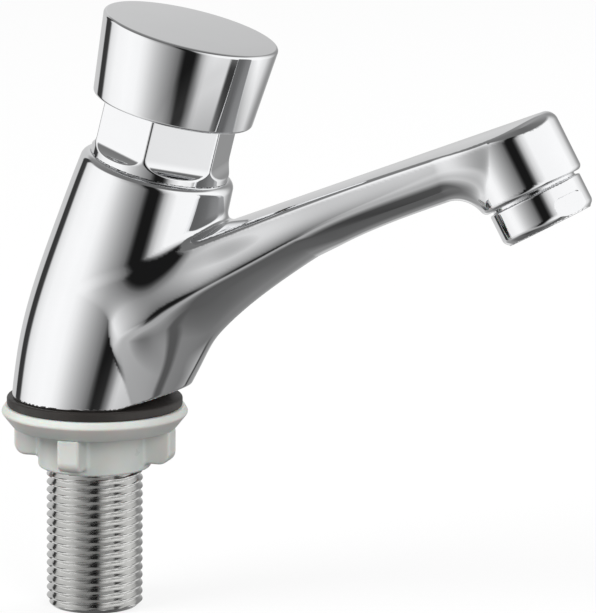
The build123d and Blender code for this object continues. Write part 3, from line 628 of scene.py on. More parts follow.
def body_field(points, cast):
    """Distance to the leaning body, whose oval sections tilt with their height."""
    height = SEAM[2] - cast.foot
    share = np.clip((points[:, 2] - cast.foot) / height, *BODY_REACH)
    for _ in range(BODY_ROUNDS):
        row = BODY_CURVE(share)
        tilt = PUSH_TILT * row[:, 1]
        beyond = share - np.clip(share, 0, 1)
        centre_x = SEAM[0] * row[:, 0] + beyond * height * np.tan(tilt)
        centre_z = cast.foot + height * share
        gap = (points[:, 0] - centre_x) * np.sin(tilt) + (points[:, 2] - centre_z) * np.cos(tilt)
        share = share + gap * np.cos(tilt) / height
    out = (points[:, 0] - centre_x) * np.cos(tilt) - (points[:, 2] - centre_z) * np.sin(tilt)
    taper = cast.foot_radius + (cast.shoulder_radius - cast.foot_radius) * np.clip(share, 0, 1)
    long_half = taper * np.where(out > 0, row[:, 4], row[:, 2])
    side_half = taper * row[:, 3]
    reach = np.hypot(out / long_half, points[:, 1] / side_half)
    steep = np.hypot(out / long_half**2, points[:, 1] / side_half**2)
    return reach * (reach - 1) / (steep + TINY)


def section_field(side, low, half, deep, flare, power):
    """Distance in a spout section to the lower half of an oval whose flanks may flare."""
    across, down = side / half + TINY, low / deep

    def reach(across, down):
        bulge = 1 + flare * FLARE_CURVE(np.arctan2(down, across) / (math.pi / 2))[:, 0]
        return (across**power + down**power) ** (1 / power) / bulge

    value = reach(across, down)
    step = 0.001
    steep = np.hypot((reach(across + step, down) - value) / half, (reach(across, down + step) - value) / deep)
    return (value - 1) * step / (steep + TINY)


def spout_field(points, cast):
    """Distance to the spout: crowned top, rounded flanks, and the round head at its end."""
    back = -along(points, SPOUT_TOP, SPOUT_ALONG)
    rise = along(points, SPOUT_TOP, SPOUT_NORMAL)
    side = np.abs(points[:, 1])
    row = SPOUT_CURVE(back / cast.spout_length)
    half = cast.spout_half_width * row[:, 1]
    crown = cast.crown * half
    deep = cast.spout_depth * row[:, 0] - crown
    bend = (half**2 + crown**2) / (2 * crown)
    top = np.hypot(side, rise + bend) - bend
    low = np.maximum(-(rise + crown), 0)
    flare = np.maximum(row[:, 2], 0)
    flank = section_field(side, low, half, deep, flare, cast.roundness)
    edge = half * (BELLY_EDGE + BELLY_EDGE_FLARE * flare)
    edge_low = deep * np.minimum(row[:, 3], BELLY_LOWEST)
    keel = half * cast.keel
    fall = (side - edge) * (deep - edge_low) + (low - edge_low) * (edge - keel)
    belly = fall / np.hypot(deep - edge_low, edge - keel)
    belly = belly - half * np.maximum(row[:, 3] - BELLY_LOWEST, 0) * BELLY_FADE
    flank = round_meet(flank, belly, cast.belly_rounding)
    outward = along(points, OUTLET, OUTLET_OUT)
    level = along(points, OUTLET, OUTLET_UP)
    ring = np.hypot(outward, points[:, 1]) - cast.spout_half_width
    head = round_meet(ring, cast.head_bottom - level, cast.rim_rounding)
    behind = np.clip(-outward / np.hypot(outward, side + TINY) / HEAD_BLEND_FULL, TINY, 1)
    blend = smooth_step(behind, cast.head_blend)
    lower = round_join(np.maximum(flank, outward), head, blend)
    towards_tip = smooth_step(np.clip(outward / cast.spout_half_width, 0, 1))
    rounding = cast.edge_rounding + (cast.tip_rounding - cast.edge_rounding) * towards_tip
    return np.maximum(round_meet(lower, top, rounding), back - cast.spout_length)


def casting_field(points, cast):
    """Distance to the whole outer skin of the casting."""
    seam = along(points, SEAM, PUSH_UP)
    body = round_meet(body_field(points, cast), seam, cast.shoulder_rounding)
    drop = np.clip(-along(points, SPOUT_TOP, SPOUT_NORMAL) / cast.spout_depth, 0, 1)
    lean = SEAM[0] / SEAM[2] * points[:, 2]
    turn = np.arctan2(points[:, 0] - lean, np.abs(points[:, 1])) - cast.flank_heading
    hollow = cast.flank_blend * (1 - np.cos(np.clip(turn, TINY, math.pi / 2)))
    hollow = cast.under_blend * (1 - np.exp(-hollow / cast.under_blend))
    blend = cast.neck_blend + (hollow - cast.neck_blend) * drop
    joined = round_join(body, spout_field(points, cast), blend)
    toe_out = (points[:, 0] - cast.toe_start) * math.sin(cast.toe_slope)
    toe_up = (points[:, 2] - cast.foot) * math.cos(cast.toe_slope)
    foot = np.maximum(cast.foot - points[:, 2], toe_out - toe_up)
    return round_meet(joined, foot, cast.foot_rounding)


def bonnet_field(points, bonnet):
    """Distance to the bonnet above the seam: a chamfered hexagon that grows out of a round collar."""
    out = along(points, SEAM, PUSH_OUT)
    level = along(points, SEAM, PUSH_UP)
    radius = np.hypot(out, points[:, 1])
    slope = np.array([bonnet.chamfer, bonnet.collar_radius - bonnet.half_width])
    slope /= np.linalg.norm(slope)
    cone = (radius - bonnet.half_width) * slope[0] + (level - bonnet.top) * slope[1]
    result = round_meet(radius - bonnet.collar_radius, level - bonnet.top, bonnet.edge_rounding)
    result = round_meet(result, cone, bonnet.edge_rounding)
    for side in range(HEX_SIDES):
        heading = bonnet.turn + side * 2 * math.pi / HEX_SIDES
        flat = out * math.cos(heading) + points[:, 1] * math.sin(heading) - bonnet.half_width
        flank = round_join(flat, level - bonnet.collar_height, bonnet.blend)
        result = round_meet(result, flank, bonnet.edge_rounding)
    return np.maximum(result, -level)


def nut_field(points, fixing):
    """Distance to the winged nut below the washer, before its thread is cut."""
    top = -fixing.washer_thickness
    radius = np.hypot(points[:, 0], points[:, 1])
    hub_foot = top - fixing.nut_height - points[:, 2]
    result = round_meet(radius - fixing.nut_hub_radius, hub_foot, fixing.nut_rounding)
    for wing in range(fixing.wing_count):
        heading = fixing.wing_turn + wing * 2 * math.pi / fixing.wing_count
        out = points[:, 0] * math.cos(heading) + points[:, 1] * math.sin(heading)
        side = np.abs(points[:, 1] * math.cos(heading) - points[:, 0] * math.sin(heading))
        foot = top - fixing.wing_height - points[:, 2]
        shape = round_meet(out - fixing.wing_reach, foot, fixing.wing_rounding)
        shape = round_meet(shape, side - fixing.wing_thickness / 2, fixing.nut_rounding)
        result = round_join(result, np.maximum(shape, -out), fixing.wing_blend)
    return round_meet(result, points[:, 2] - top, fixing.nut_rounding / 2)


def housing_field(points, outlet):
    """Distance to the outlet's housing with its two wrench flats, before it is bored."""
    out = along(points, OUTLET, OUTLET_OUT)
    level = along(points, OUTLET, OUTLET_UP)
    radius = np.hypot(out, points[:, 1])
    diagonal = math.sqrt(0.5)
    chamfer = (radius - outlet.radius + outlet.chamfer - level) * diagonal
    skirt = round_meet(radius - outlet.radius, level - outlet.skirt, outlet.edge_rounding)
    skirt = round_meet(round_meet(skirt, chamfer, outlet.edge_rounding), -level, outlet.edge_rounding)
    for facing in (outlet.flat_turn, outlet.flat_turn + math.pi):
        depth = out * math.cos(facing) + points[:, 1] * math.sin(facing)
        across = np.abs(points[:, 1] * math.cos(facing) - out * math.sin(facing))
        window = round_meet(across - outlet.flat_width / 2, level - outlet.flat_height, outlet.flat_rounding)
        pocket = np.maximum(window, outlet.flat_half_width - depth)
        skirt = round_meet(skirt, -pocket, outlet.edge_rounding / 2)
    spigot = np.maximum(radius - outlet.spigot_radius, level - outlet.skirt - outlet.spigot_height)
    return np.minimum(skirt, np.maximum(spigot, -level))


def in_chunks(field, points, chunk=200000):
    """The field at many points, a part at a time."""
    return np.concatenate([field(points[start : start + chunk]) for start in range(0, len(points), chunk)])


def slope_of(field, points, step=0.01):
    """Value and unit gradient of a field."""
    slope = np.empty_like(points)
    for axis in range(3):
        shift = np.zeros(3)
        shift[axis] = step
        slope[:, axis] = (in_chunks(field, points + shift) - in_chunks(field, points - shift)) / (2 * step)
    size = np.linalg.norm(slope, axis=1) + TINY
    return in_chunks(field, points) / size, slope / size[:, None]


def sampled(field, axes, block):
    """The field on a grid, worked out finely only in the blocks near its surface."""
    cell = axes[0][1] - axes[0][0]
    middles = [axis[:-1:block] + cell * block / 2 for axis in axes]
    coarse = np.stack(np.meshgrid(*middles, indexing="ij"), -1).reshape(-1, 3)
    rough = in_chunks(field, coarse).reshape([len(middle) for middle in middles])
    value = np.where(rough < 0, -1.0, 1.0)
    near = np.abs(rough) < cell * block * NEAR_BLOCKS
    for axis in range(3):
        value = np.repeat(value, block, axis=axis)
        near = np.repeat(near, block, axis=axis)
    value = np.pad(value, ((0, 1),) * 3, mode="edge")
    near = np.pad(near, ((0, 1),) * 3, mode="edge")
    for axis in range(3):
        near = near | np.roll(near, 1, axis=axis)
    where = np.argwhere(near)
    value[near] = in_chunks(field, np.stack([axes[axis][where[:, axis]] for axis in range(3)], 1))
    return value


def skin(field, low, high, cell, block=4, evened=4, settled=3):
    """Quads over a field's zero surface, evened out and settled onto it in rounds."""
    steps = [int(math.ceil((top - bottom) / cell / block)) * block for bottom, top in zip(low, high)]
    axes = [bottom + cell * np.arange(step + 1) for bottom, step in zip(low, steps)]
    value = sampled(field, axes, block)
    total = int(np.prod(steps))
    sums = np.zeros((total, 3))
    hits = np.zeros(total)
    quads = []
    for axis in range(3):
        first = np.take(value, range(steps[axis]), axis=axis)
        second = np.take(value, range(1, steps[axis] + 1), axis=axis)
        edge = np.argwhere((first < 0) != (second < 0))
        a, b = first[tuple(edge.T)], second[tuple(edge.T)]
        spot = np.stack([axes[side][edge[:, side]] for side in range(3)], 1)
        spot[:, axis] += cell * a / (a - b)
        corners = []
        for du, dv in ((0, 0), (-1, 0), (-1, -1), (0, -1)):
            place = edge.copy()
            place[:, (axis + 1) % 3] += du
            place[:, (axis + 2) % 3] += dv
            flat = (place[:, 0] * steps[1] + place[:, 1]) * steps[2] + place[:, 2]
            corners.append(flat)
            hits += np.bincount(flat, minlength=total)
            for side in range(3):
                sums[:, side] += np.bincount(flat, weights=spot[:, side], minlength=total)
        quad = np.stack(corners, 1)
        quads.append(np.where((a < 0)[:, None], quad, quad[:, ::-1]))
    used = np.flatnonzero(hits)
    number = np.full(total, -1)
    number[used] = np.arange(len(used))
    points = sums[used] / hits[used][:, None]
    faces = number[np.concatenate(quads)]
    links = np.concatenate([faces[:, [corner, (corner + 1) % 4]] for corner in range(4)])
    links = np.concatenate([links, links[:, ::-1]])
    degree = np.bincount(links[:, 0], minlength=len(points))[:, None]
    for turn in range(evened + settled):
        value, normal = slope_of(field, points)
        points = points - normal * np.clip(value, -cell, cell)[:, None]
        if turn < evened:
            pulled = [np.bincount(links[:, 0], weights=points[links[:, 1], side]) for side in range(3)]
            pull = np.stack(pulled, 1) / degree - points
            pull -= normal * np.sum(pull * normal, axis=1)[:, None]
            points = points + pull / 2
    return points, faces


def new_piece(name, points, faces):
    """A mesh object at the origin, from points in millimetres."""
    mesh = bpy.data.meshes.new(name)
    mesh.from_pydata((np.asarray(points) * MM).tolist(), [], [list(map(int, face)) for face in faces])
    piece = bpy.data.objects.new(name, mesh)
    bpy.context.scene.collection.objects.link(piece)
    return piece


def closed_outward(piece):
    """Merges doubled points, splits faces of many corners and turns the faces outwards."""
    work = bmesh.new()
    work.from_mesh(piece.data)
    bmesh.ops.remove_doubles(work, verts=work.verts, dist=MERGE)
    bmesh.ops.dissolve_degenerate(work, edges=work.edges, dist=MERGE)
    bmesh.ops.triangulate(work, faces=[face for face in work.faces if len(face.verts) > 4])
    bmesh.ops.recalc_face_normals(work, faces=work.faces)
    work.to_mesh(piece.data)
    work.free()


def shade(piece, sharp=math.radians(32)):
    """Smooth shading, with edges sharper than an angle kept crisp."""
    mesh = piece.data
    mesh.polygons.foreach_set("use_smooth", [True] * len(mesh.polygons))
    mesh.set_sharp_from_angle(angle=sharp)
    mesh.update()


def field_normals(piece, field, near=0.02, agreement=0.5):
    """Gives the faces that lie on a field its own normals, so that reflections run smooth."""
    mesh = piece.data
    place = np.empty(len(mesh.vertices) * 3)
    mesh.vertices.foreach_get("co", place)
    value, normal = slope_of(field, place.reshape(-1, 3) / MM)
    corner = np.empty(len(mesh.loops), int)
    mesh.loops.foreach_get("vertex_index", corner)
    size = np.empty(len(mesh.polygons), int)
    mesh.polygons.foreach_get("loop_total", size)
    flat = np.empty(len(mesh.polygons) * 3)
    mesh.polygons.foreach_get("normal", flat)
    owner = np.repeat(np.arange(len(size)), size)
    on_field = (np.abs(value) < near)[corner].astype(float)
    whole = np.bincount(owner, weights=on_field, minlength=len(size)) == size
    given = normal[corner]
    agrees = np.sum(given * flat.reshape(-1, 3)[owner], axis=1) > agreement
    given[~(whole[owner] & agrees)] = 0
    mesh.normals_split_custom_set(given.tolist())


def rounded(outline, steps=6, most=0.49):
    """Points of a closed outline, given as across, up and corner radius.

    A rounding takes up at most a share of the corner's shorter side.
    """
    result = []
    for index, (across, up, radius) in enumerate(outline):
        here = np.array([across, up], float)
        before = np.array(outline[index - 1][:2], float) - here
        after = np.array(outline[(index + 1) % len(outline)][:2], float) - here
        if radius <= 0:
            result.append(tuple(here))
            continue
        room = min(np.linalg.norm(before), np.linalg.norm(after)) * most
        before, after = before / np.linalg.norm(before), after / np.linalg.norm(after)
        half = math.acos(np.clip(before @ after, -1, 1)) / 2
        reach = min(radius / math.tan(half), room)
        to_centre = (before + after) / np.linalg.norm(before + after)
        centre = here + to_centre * reach / math.cos(half)
        first, last = here + before * reach - centre, here + after * reach - centre
        turn = math.atan2(first[0] * last[1] - first[1] * last[0], first @ last)
        for step in range(steps + 1):
            cosine, sine = math.cos(turn * step / steps), math.sin(turn * step / steps)
            spot = (first[0] * cosine - first[1] * sine, first[0] * sine + first[1] * cosine)
            result.append((centre[0] + spot[0], centre[1] + spot[1]))
    return result


def turned(name, outline, axis, segments=144):
    """A closed outline of across and up, turned about an axis into a closed mesh."""
    origin, out, up = axis
    side = np.cross(up, out)
    headings = 2 * math.pi * np.arange(segments) / segments
    around = np.outer(np.cos(headings), out) + np.outer(np.sin(headings), side)
    points = np.concatenate([origin + up * height + around * across for across, height in outline])
    faces = []
    for ring in range(len(outline)):
        following = (ring + 1) % len(outline)
        if outline[ring][0] < TINY and outline[following][0] < TINY:
            continue
        for step in range(segments):
            after = (step + 1) % segments
            low, high = ring * segments, following * segments
            faces.append((low + step, low + after, high + after, high + step))
    piece = new_piece(name, points, faces)
    closed_outward(piece)
    shade(piece)
    return piece


def tube(name, ways, radius, steps=32, segments=32):
    """A round bar bent along the parabola through three points of the middle plane."""
    share = np.linspace(0, 1, steps)[:, None]
    first, middle, last = ways
    leaving, nearing = (1 - share) * (1 - 2 * share), share * (2 * share - 1)
    spots = leaving * first + 4 * share * (1 - share) * middle + nearing * last
    ahead = np.gradient(spots, axis=0)
    ahead /= np.linalg.norm(ahead, axis=1)[:, None]
    side = np.array([0.0, 1.0, 0.0])
    points, faces = [], []
    for spot, onward in zip(spots, ahead):
        lift = np.cross(onward, side)
        for step in range(segments):
            heading = 2 * math.pi * step / segments
            points.append(spot + radius * (math.cos(heading) * side + math.sin(heading) * lift))
    for ring in range(steps - 1):
        for step in range(segments):
            after = (step + 1) % segments
            low, high = ring * segments, (ring + 1) * segments
            faces.append((low + step, low + after, high + after, high + step))
    faces += [range(segments), range(segments * (steps - 1), segments * steps)]
    piece = new_piece(name, points, faces)
    closed_outward(piece)
    return piece


def combined(piece, *tools, operation="DIFFERENCE"):
    """Cuts closed meshes out of a piece, or joins them to it, and deletes them."""
    for tool in tools:
        modifier = piece.modifiers.new(operation.lower(), "BOOLEAN")
        modifier.operation = operation
        modifier.solver = "EXACT"
        modifier.object = tool
        evaluated = piece.evaluated_get(bpy.context.evaluated_depsgraph_get())
        mesh = bpy.data.meshes.new_from_object(evaluated)
        piece.modifiers.clear()
        piece.data = mesh
        bpy.data.objects.remove(tool)
    closed_outward(piece)
    shade(piece)


def put(tree, kind, inputs=None, **settings):
    """Adds a node, sets its properties, and fills its inputs from values or other nodes' outputs."""
    node = tree.nodes.new(kind)
    for name, value in settings.items():
        setattr(node, name, value)
    for key, value in (inputs or {}).items():
        if isinstance(value, bpy.types.NodeSocket):
            tree.links.new(value, node.inputs[key])
        else:
            node.inputs[key].default_value = value
    return node


def put_colour_mix(tree, inputs):
    """A Mix node for colours, with Factor, A and B given: returns its output."""
    node = tree.nodes.new("ShaderNodeMix")
    node.data_type = "RGBA"
    colour_sockets = [socket for socket in node.inputs if socket.type == "RGBA"]
    tree.links.new(inputs["Factor"], node.inputs["Factor"])
    for socket, key in zip(colour_sockets, "AB"):
        tree.links.new(inputs[key], socket)
    return next(socket for socket in node.outputs if socket.type == "RGBA")


def maths(tree, operation, *values):
    """A Math node of up to three values or sockets: returns its output."""
    return put(tree, "ShaderNodeMath", dict(enumerate(values)), operation=operation).outputs[0]


def geometry_tree(name, **inputs):
    """A Geometry Nodes tree with a mesh input, named float inputs and a material."""
    tree = bpy.data.node_groups.new(name, "GeometryNodeTree")
    tree.interface.new_socket(name="Geometry", in_out="INPUT", socket_type="NodeSocketGeometry")
    for label, value in inputs.items():
        socket = tree.interface.new_socket(name=label, in_out="INPUT", socket_type="NodeSocketFloat")
        socket.default_value = value
    tree.interface.new_socket(name="Material", in_out="INPUT", socket_type="NodeSocketMaterial")
    tree.interface.new_socket(name="Geometry", in_out="OUTPUT", socket_type="NodeSocketGeometry")
    return tree, put(tree, "NodeGroupInput").outputs


def finish_tree(tree, geometry, material):
    """Ends a tree in Realize Instances and Set Material."""
    real = put(tree, "GeometryNodeRealizeInstances", {"Geometry": geometry}).outputs[0]
    dressed = put(tree, "GeometryNodeSetMaterial", {"Geometry": real, "Material": material}).outputs[0]
    put(tree, "NodeGroupOutput", {0: dressed})


def grown(piece, tree, material, **inputs):
    """Runs a tree on a piece and keeps the result as its plain mesh."""
    modifier = piece.modifiers.new(tree.name, "NODES")
    modifier.node_group = tree
    inputs["Material"] = material
    for item in tree.interface.items_tree:
        if item.in_out == "INPUT" and item.name in inputs:
            modifier[item.identifier] = inputs[item.name]
    evaluated = piece.evaluated_get(bpy.context.evaluated_depsgraph_get())
    mesh = bpy.data.meshes.new_from_object(evaluated)
    piece.modifiers.clear()
    piece.data = mesh
    closed_outward(piece)


def placed(piece, material, body, slot, *nodes):
    """Gives a finished piece its material and its body, and hides the nodes it stands for. Its slot is not
    used.
    """
    if not piece.data.polygons:
        raise RuntimeError(f"{piece.name} came out without faces")
    piece.data.materials.clear()
    piece.data.materials.append(material)
    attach(piece, body)
    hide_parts(*nodes)


def blank_material(name):
    """A material with an empty tree: returns it and the tree."""
    material = bpy.data.materials.new(name)
    material.use_nodes = True
    material.node_tree.nodes.clear()
    return material, material.node_tree


def speckle(tree, scale, detail, low, high):
    """Noise on Object coordinates, stretched to a range: returns its output."""
    place = put(tree, "ShaderNodeTexCoord").outputs["Object"]
    noise = put(tree, "ShaderNodeTexNoise", {"Vector": place, "Scale": scale, "Detail": detail})
    start, end = NOISE_RANGE
    stretch = {"From Min": start, "From Max": end, "To Min": low, "To Max": high}
    stretch["Value"] = noise.outputs["Fac"]
    return put(tree, "ShaderNodeMapRange", stretch).outputs[0]


def finish(name, colour, roughness, metallic, bump=0.02, shift=0.06, **sockets):
    """A procedural finish: colour, roughness and bump vary finely over the surface."""
    material, tree = blank_material(name)
    rough = speckle(tree, *ROUGH_GRAIN, roughness * (1 - ROUGH_SPREAD), roughness * (1 + ROUGH_SPREAD))
    tone = speckle(tree, *TONE_GRAIN, 1 - shift, 1 + shift)
    plain = put(tree, "ShaderNodeRGB")
    plain.outputs[0].default_value = (*colour, 1.0)
    shaded = put(tree, "ShaderNodeVectorMath", {0: plain.outputs[0], 3: tone}, operation="SCALE").outputs[0]
    height = speckle(tree, *BUMP_GRAIN, 0.0, 1.0)
    bumped = put(tree, "ShaderNodeBump", {"Strength": bump, "Distance": BUMP_HEIGHT, "Height": height})
    inputs = {"Base Color": shaded, "Roughness": rough, "Metallic": metallic, "Normal": bumped.outputs[0]}
    inputs.update({key.replace("_", " "): value for key, value in sockets.items()})
    shader = put(tree, "ShaderNodeBsdfPrincipled", inputs)
    put(tree, "ShaderNodeOutputMaterial", {"Surface": shader.outputs[0]})
    return material


def finishes():
    """The materials of all pieces, made once."""
    colours = bpy.context.scene.tap_colours
    for name, (colour, roughness, metallic, differences) in FINISHES.items():
        if name not in bpy.data.materials:
            finish(name, getattr(colours, colour), roughness, metallic, **differences)
    return bpy.data.materials


class TAP_OT_casting(bpy.types.Operator):
    """Builds the chromed casting: body, spout and head in one skin, bored as the solid is"""

    bl_idname = "tap.casting"
    bl_label = "Casting"

    def socket(self, outlet):
        """Outline of the housing's socket, with the chamber above it."""
        top = outlet.socket_top + outlet.chamber_height
        return [
            (0, -OVERRUN),
            (outlet.socket_radius, -OVERRUN),
            (outlet.socket_radius, outlet.socket_top),
            (outlet.chamber_radius, outlet.socket_top),
            (outlet.chamber_radius, top),
            (0, top),
        ]

    def bore(self, cast):
        """Outline of the bore for bonnet, barrel and valve, with the gallery round the barrel."""
        above = 2 * OVERRUN
        foot = -cast.chamber_foot - cast.throat_length
        return [
            (0, above),
            (cast.bonnet_bore, above),
            (cast.bonnet_bore, -cast.bonnet_bore_depth),
            (cast.barrel_bore, -cast.bonnet_bore_depth),
            (cast.barrel_bore, -cast.gallery_top),
            (cast.gallery_radius, -cast.gallery_top),
            (cast.gallery_radius, -cast.gallery_foot),
            (cast.barrel_bore, -cast.gallery_foot),
            (cast.barrel_bore, -cast.barrel_foot),
            (cast.chamber_radius, -cast.barrel_foot),
            (cast.chamber_radius, -cast.chamber_foot),
            (cast.throat_radius, foot),
            (0, foot),
        ]

    def drilling(self, cast, shank):
        """Outline of the threaded bore for the shank, and of the drilling on to the chamber."""
        top = shank.top + cast.drill_height
        return [
            (0, 0),
            (cast.shank_bore, 0),
            (cast.shank_bore, shank.top),
            (shank.bore, shank.top),
            (shank.bore, top),
            (0, top),
        ]

    def execute(self, context):
        cast = sizes_of(context.scene.tap_casting)
        outlet = sizes_of(context.scene.tap_outlet)
        shank = sizes_of(context.scene.tap_shank)
        low, high = (np.array(corner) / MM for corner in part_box("tap_body"))
        margin = CASTING_ROOM * cast.cell

        def field(points):
            return casting_field(points, cast)

        piece = new_piece("casting", *skin(field, low - margin, high + margin, cast.cell))
        ways = (OUTLET + OUTLET_UP * cast.waterway_end, WATERWAY_MIDDLE, WATERWAY_LOW)
        combined(
            piece,
            turned("socket", self.socket(outlet), OUTLET_AXIS),
            turned("bore", self.bore(cast), PUSH_AXIS),
            turned("drilling", self.drilling(cast, shank), DECK_AXIS),
            tube("waterway", ways, cast.waterway_radius),
        )
        field_normals(piece, field)
        placed(piece, finishes()["polished_chrome"], "tap", "chrome", "tap_body")
        return {"FINISHED"}


class TAP_OT_cap(bpy.types.Operator):
    """Builds the push cap, turned with a thin skirt and a boss for the stem"""

    bl_idname = "tap.cap"
    bl_label = "Push cap"

    def execute(self, context):
        cap = sizes_of(context.scene.tap_cap)
        top = cap.rim_level + cap.height
        ceiling = top - cap.roof
        outline = [
            (0, top, 0),
            (cap.top_radius, top, cap.top_rounding),
            (cap.rim_radius, cap.rim_level, cap.rim_rounding),
            (cap.rim_radius - cap.wall, cap.rim_level, cap.lip_rounding),
            (cap.top_radius - cap.wall, ceiling, cap.inner_rounding),
            (cap.boss_radius, ceiling, cap.inner_rounding),
            (cap.boss_radius, ceiling - cap.boss_length, cap.boss_rounding),
            (cap.stem_radius, ceiling - cap.boss_length, 0),
            (cap.stem_radius, ceiling - cap.hole_roof, 0),
            (0, ceiling - cap.hole_roof, 0),
        ]
        piece = turned("cap", rounded(outline, cap.corner_steps), PUSH_AXIS, cap.segments)
        placed(piece, finishes()["polished_chrome"], "push", "chrome_cap", "push_cap")
        return {"FINISHED"}


class TAP_OT_bonnet(bpy.types.Operator):
    """Builds the hexagonal bonnet with its collar, spigot and spring pocket"""

    bl_idname = "tap.bonnet"
    bl_label = "Bonnet"

    def spigot(self, bonnet):
        """Outline of the spigot below the seam, with the groove of its seal."""
        groove = bonnet.spigot_radius - bonnet.seal_depth
        return [
            (bonnet.bush_hole, -bonnet.spigot_depth),
            (bonnet.spigot_radius, -bonnet.spigot_depth),
            (bonnet.spigot_radius, -bonnet.seal_foot),
            (groove, -bonnet.seal_foot),
            (groove, -bonnet.seal_top),
            (bonnet.spigot_radius, -bonnet.seal_top),
            (bonnet.spigot_radius, bonnet.seal_top),
            (bonnet.bush_hole, bonnet.seal_top),
        ]

    def hollow(self, bonnet):
        """Outline of the hollow along the axis, with the web that holds bush and seal."""
        foot, above = -bonnet.spigot_depth - OVERRUN, bonnet.top + OVERRUN
        return [
            (0, foot),
            (bonnet.cavity_radius, foot),
            (bonnet.cavity_radius, bonnet.cavity_top),
            (bonnet.stem_hole, bonnet.cavity_top),
            (bonnet.stem_hole, bonnet.web_top),
            (bonnet.bush_hole, bonnet.web_top),
            (bonnet.bush_hole, above),
            (0, above),
        ]

    def pocket(self, bonnet):
        """Outline of the ring-shaped pocket that seats the spring."""
        above = bonnet.top + OVERRUN
        return [
            (bonnet.pocket_inner, bonnet.pocket_floor),
            (bonnet.pocket_outer, bonnet.pocket_floor),
            (bonnet.pocket_outer, above),
            (bonnet.pocket_inner, above),
        ]

    def execute(self, context):
        bonnet = sizes_of(context.scene.tap_bonnet)
        reach = bonnet.collar_radius + OVERRUN
        foot, head = BONNET_PLACES
        low = SEAM + PUSH_UP * foot - np.array([reach + BONNET_ACROSS, reach, BONNET_DOWN])
        high = SEAM + PUSH_UP * head + np.array([reach + BONNET_ACROSS, reach, BONNET_UP])

        def field(points):
            return bonnet_field(points, bonnet)

        piece = new_piece("bonnet", *skin(field, low, high, bonnet.cell))
        combined(piece, turned("spigot", self.spigot(bonnet), PUSH_AXIS), operation="UNION")
        combined(
            piece,
            turned("hollow", self.hollow(bonnet), PUSH_AXIS),
            turned("pocket", self.pocket(bonnet), PUSH_AXIS),
        )
        field_normals(piece, field)
        placed(piece, finishes()["polished_chrome"], "tap", "chrome_bonnet", "hex_bonnet")
        return {"FINISHED"}


class TAP_OT_fixings(bpy.types.Operator):
    """Builds the gasket above the deck, and the washer and winged nut below it"""

    bl_idname = "tap.fixings"
    bl_label = "Gasket, washer and nut"

    def execute(self, context):
        fixing = sizes_of(context.scene.tap_fixings)
        rim = fixing.gasket_rounding
        ring = [
            (fixing.gasket_hole, 0, 0),
            (fixing.gasket_radius, 0, rim),
            (fixing.gasket_radius, fixing.gasket_thickness, rim),
            (fixing.gasket_hole, fixing.gasket_thickness, 0),
        ]
        gasket = turned("gasket", rounded(ring), DECK_AXIS)
        placed(gasket, finishes()["gasket_rubber"], "tap", "black_rubber", "base_gasket")
        soft = fixing.nut_rounding
        coned = [
            (fixing.washer_hole, 0, fixing.washer_hole_rounding),
            (fixing.washer_top_radius, 0, soft),
            (fixing.washer_rim_radius, -fixing.washer_rim_drop, soft),
            (fixing.washer_foot_radius, -fixing.washer_thickness, soft),
            (fixing.washer_hole, -fixing.washer_thickness, fixing.washer_hole_rounding),
        ]
        washer = turned("washer", rounded(coned), DECK_AXIS)
        placed(washer, finishes()["milky_plastic"], "washer", "white_plastic", "deck_washer")
        reach = fixing.wing_reach + OVERRUN
        foot = -fixing.washer_thickness - fixing.nut_height - OVERRUN
        low = np.array([-reach, -reach, foot])
        high = np.array([reach, reach, OVERRUN - fixing.washer_thickness])

        def field(points):
            return nut_field(points, fixing)

        nut = new_piece("back_nut_winged", *skin(field, low, high, fixing.cell))
        hole = [(0, foot), (fixing.nut_hole, foot), (fixing.nut_hole, OVERRUN), (0, OVERRUN)]
        combined(nut, turned("hole", hole, DECK_AXIS))
        field_normals(nut, field)
        placed(nut, finishes()["milky_plastic"], "nut", "white_plastic_nut", "back_nut")
        return {"FINISHED"}


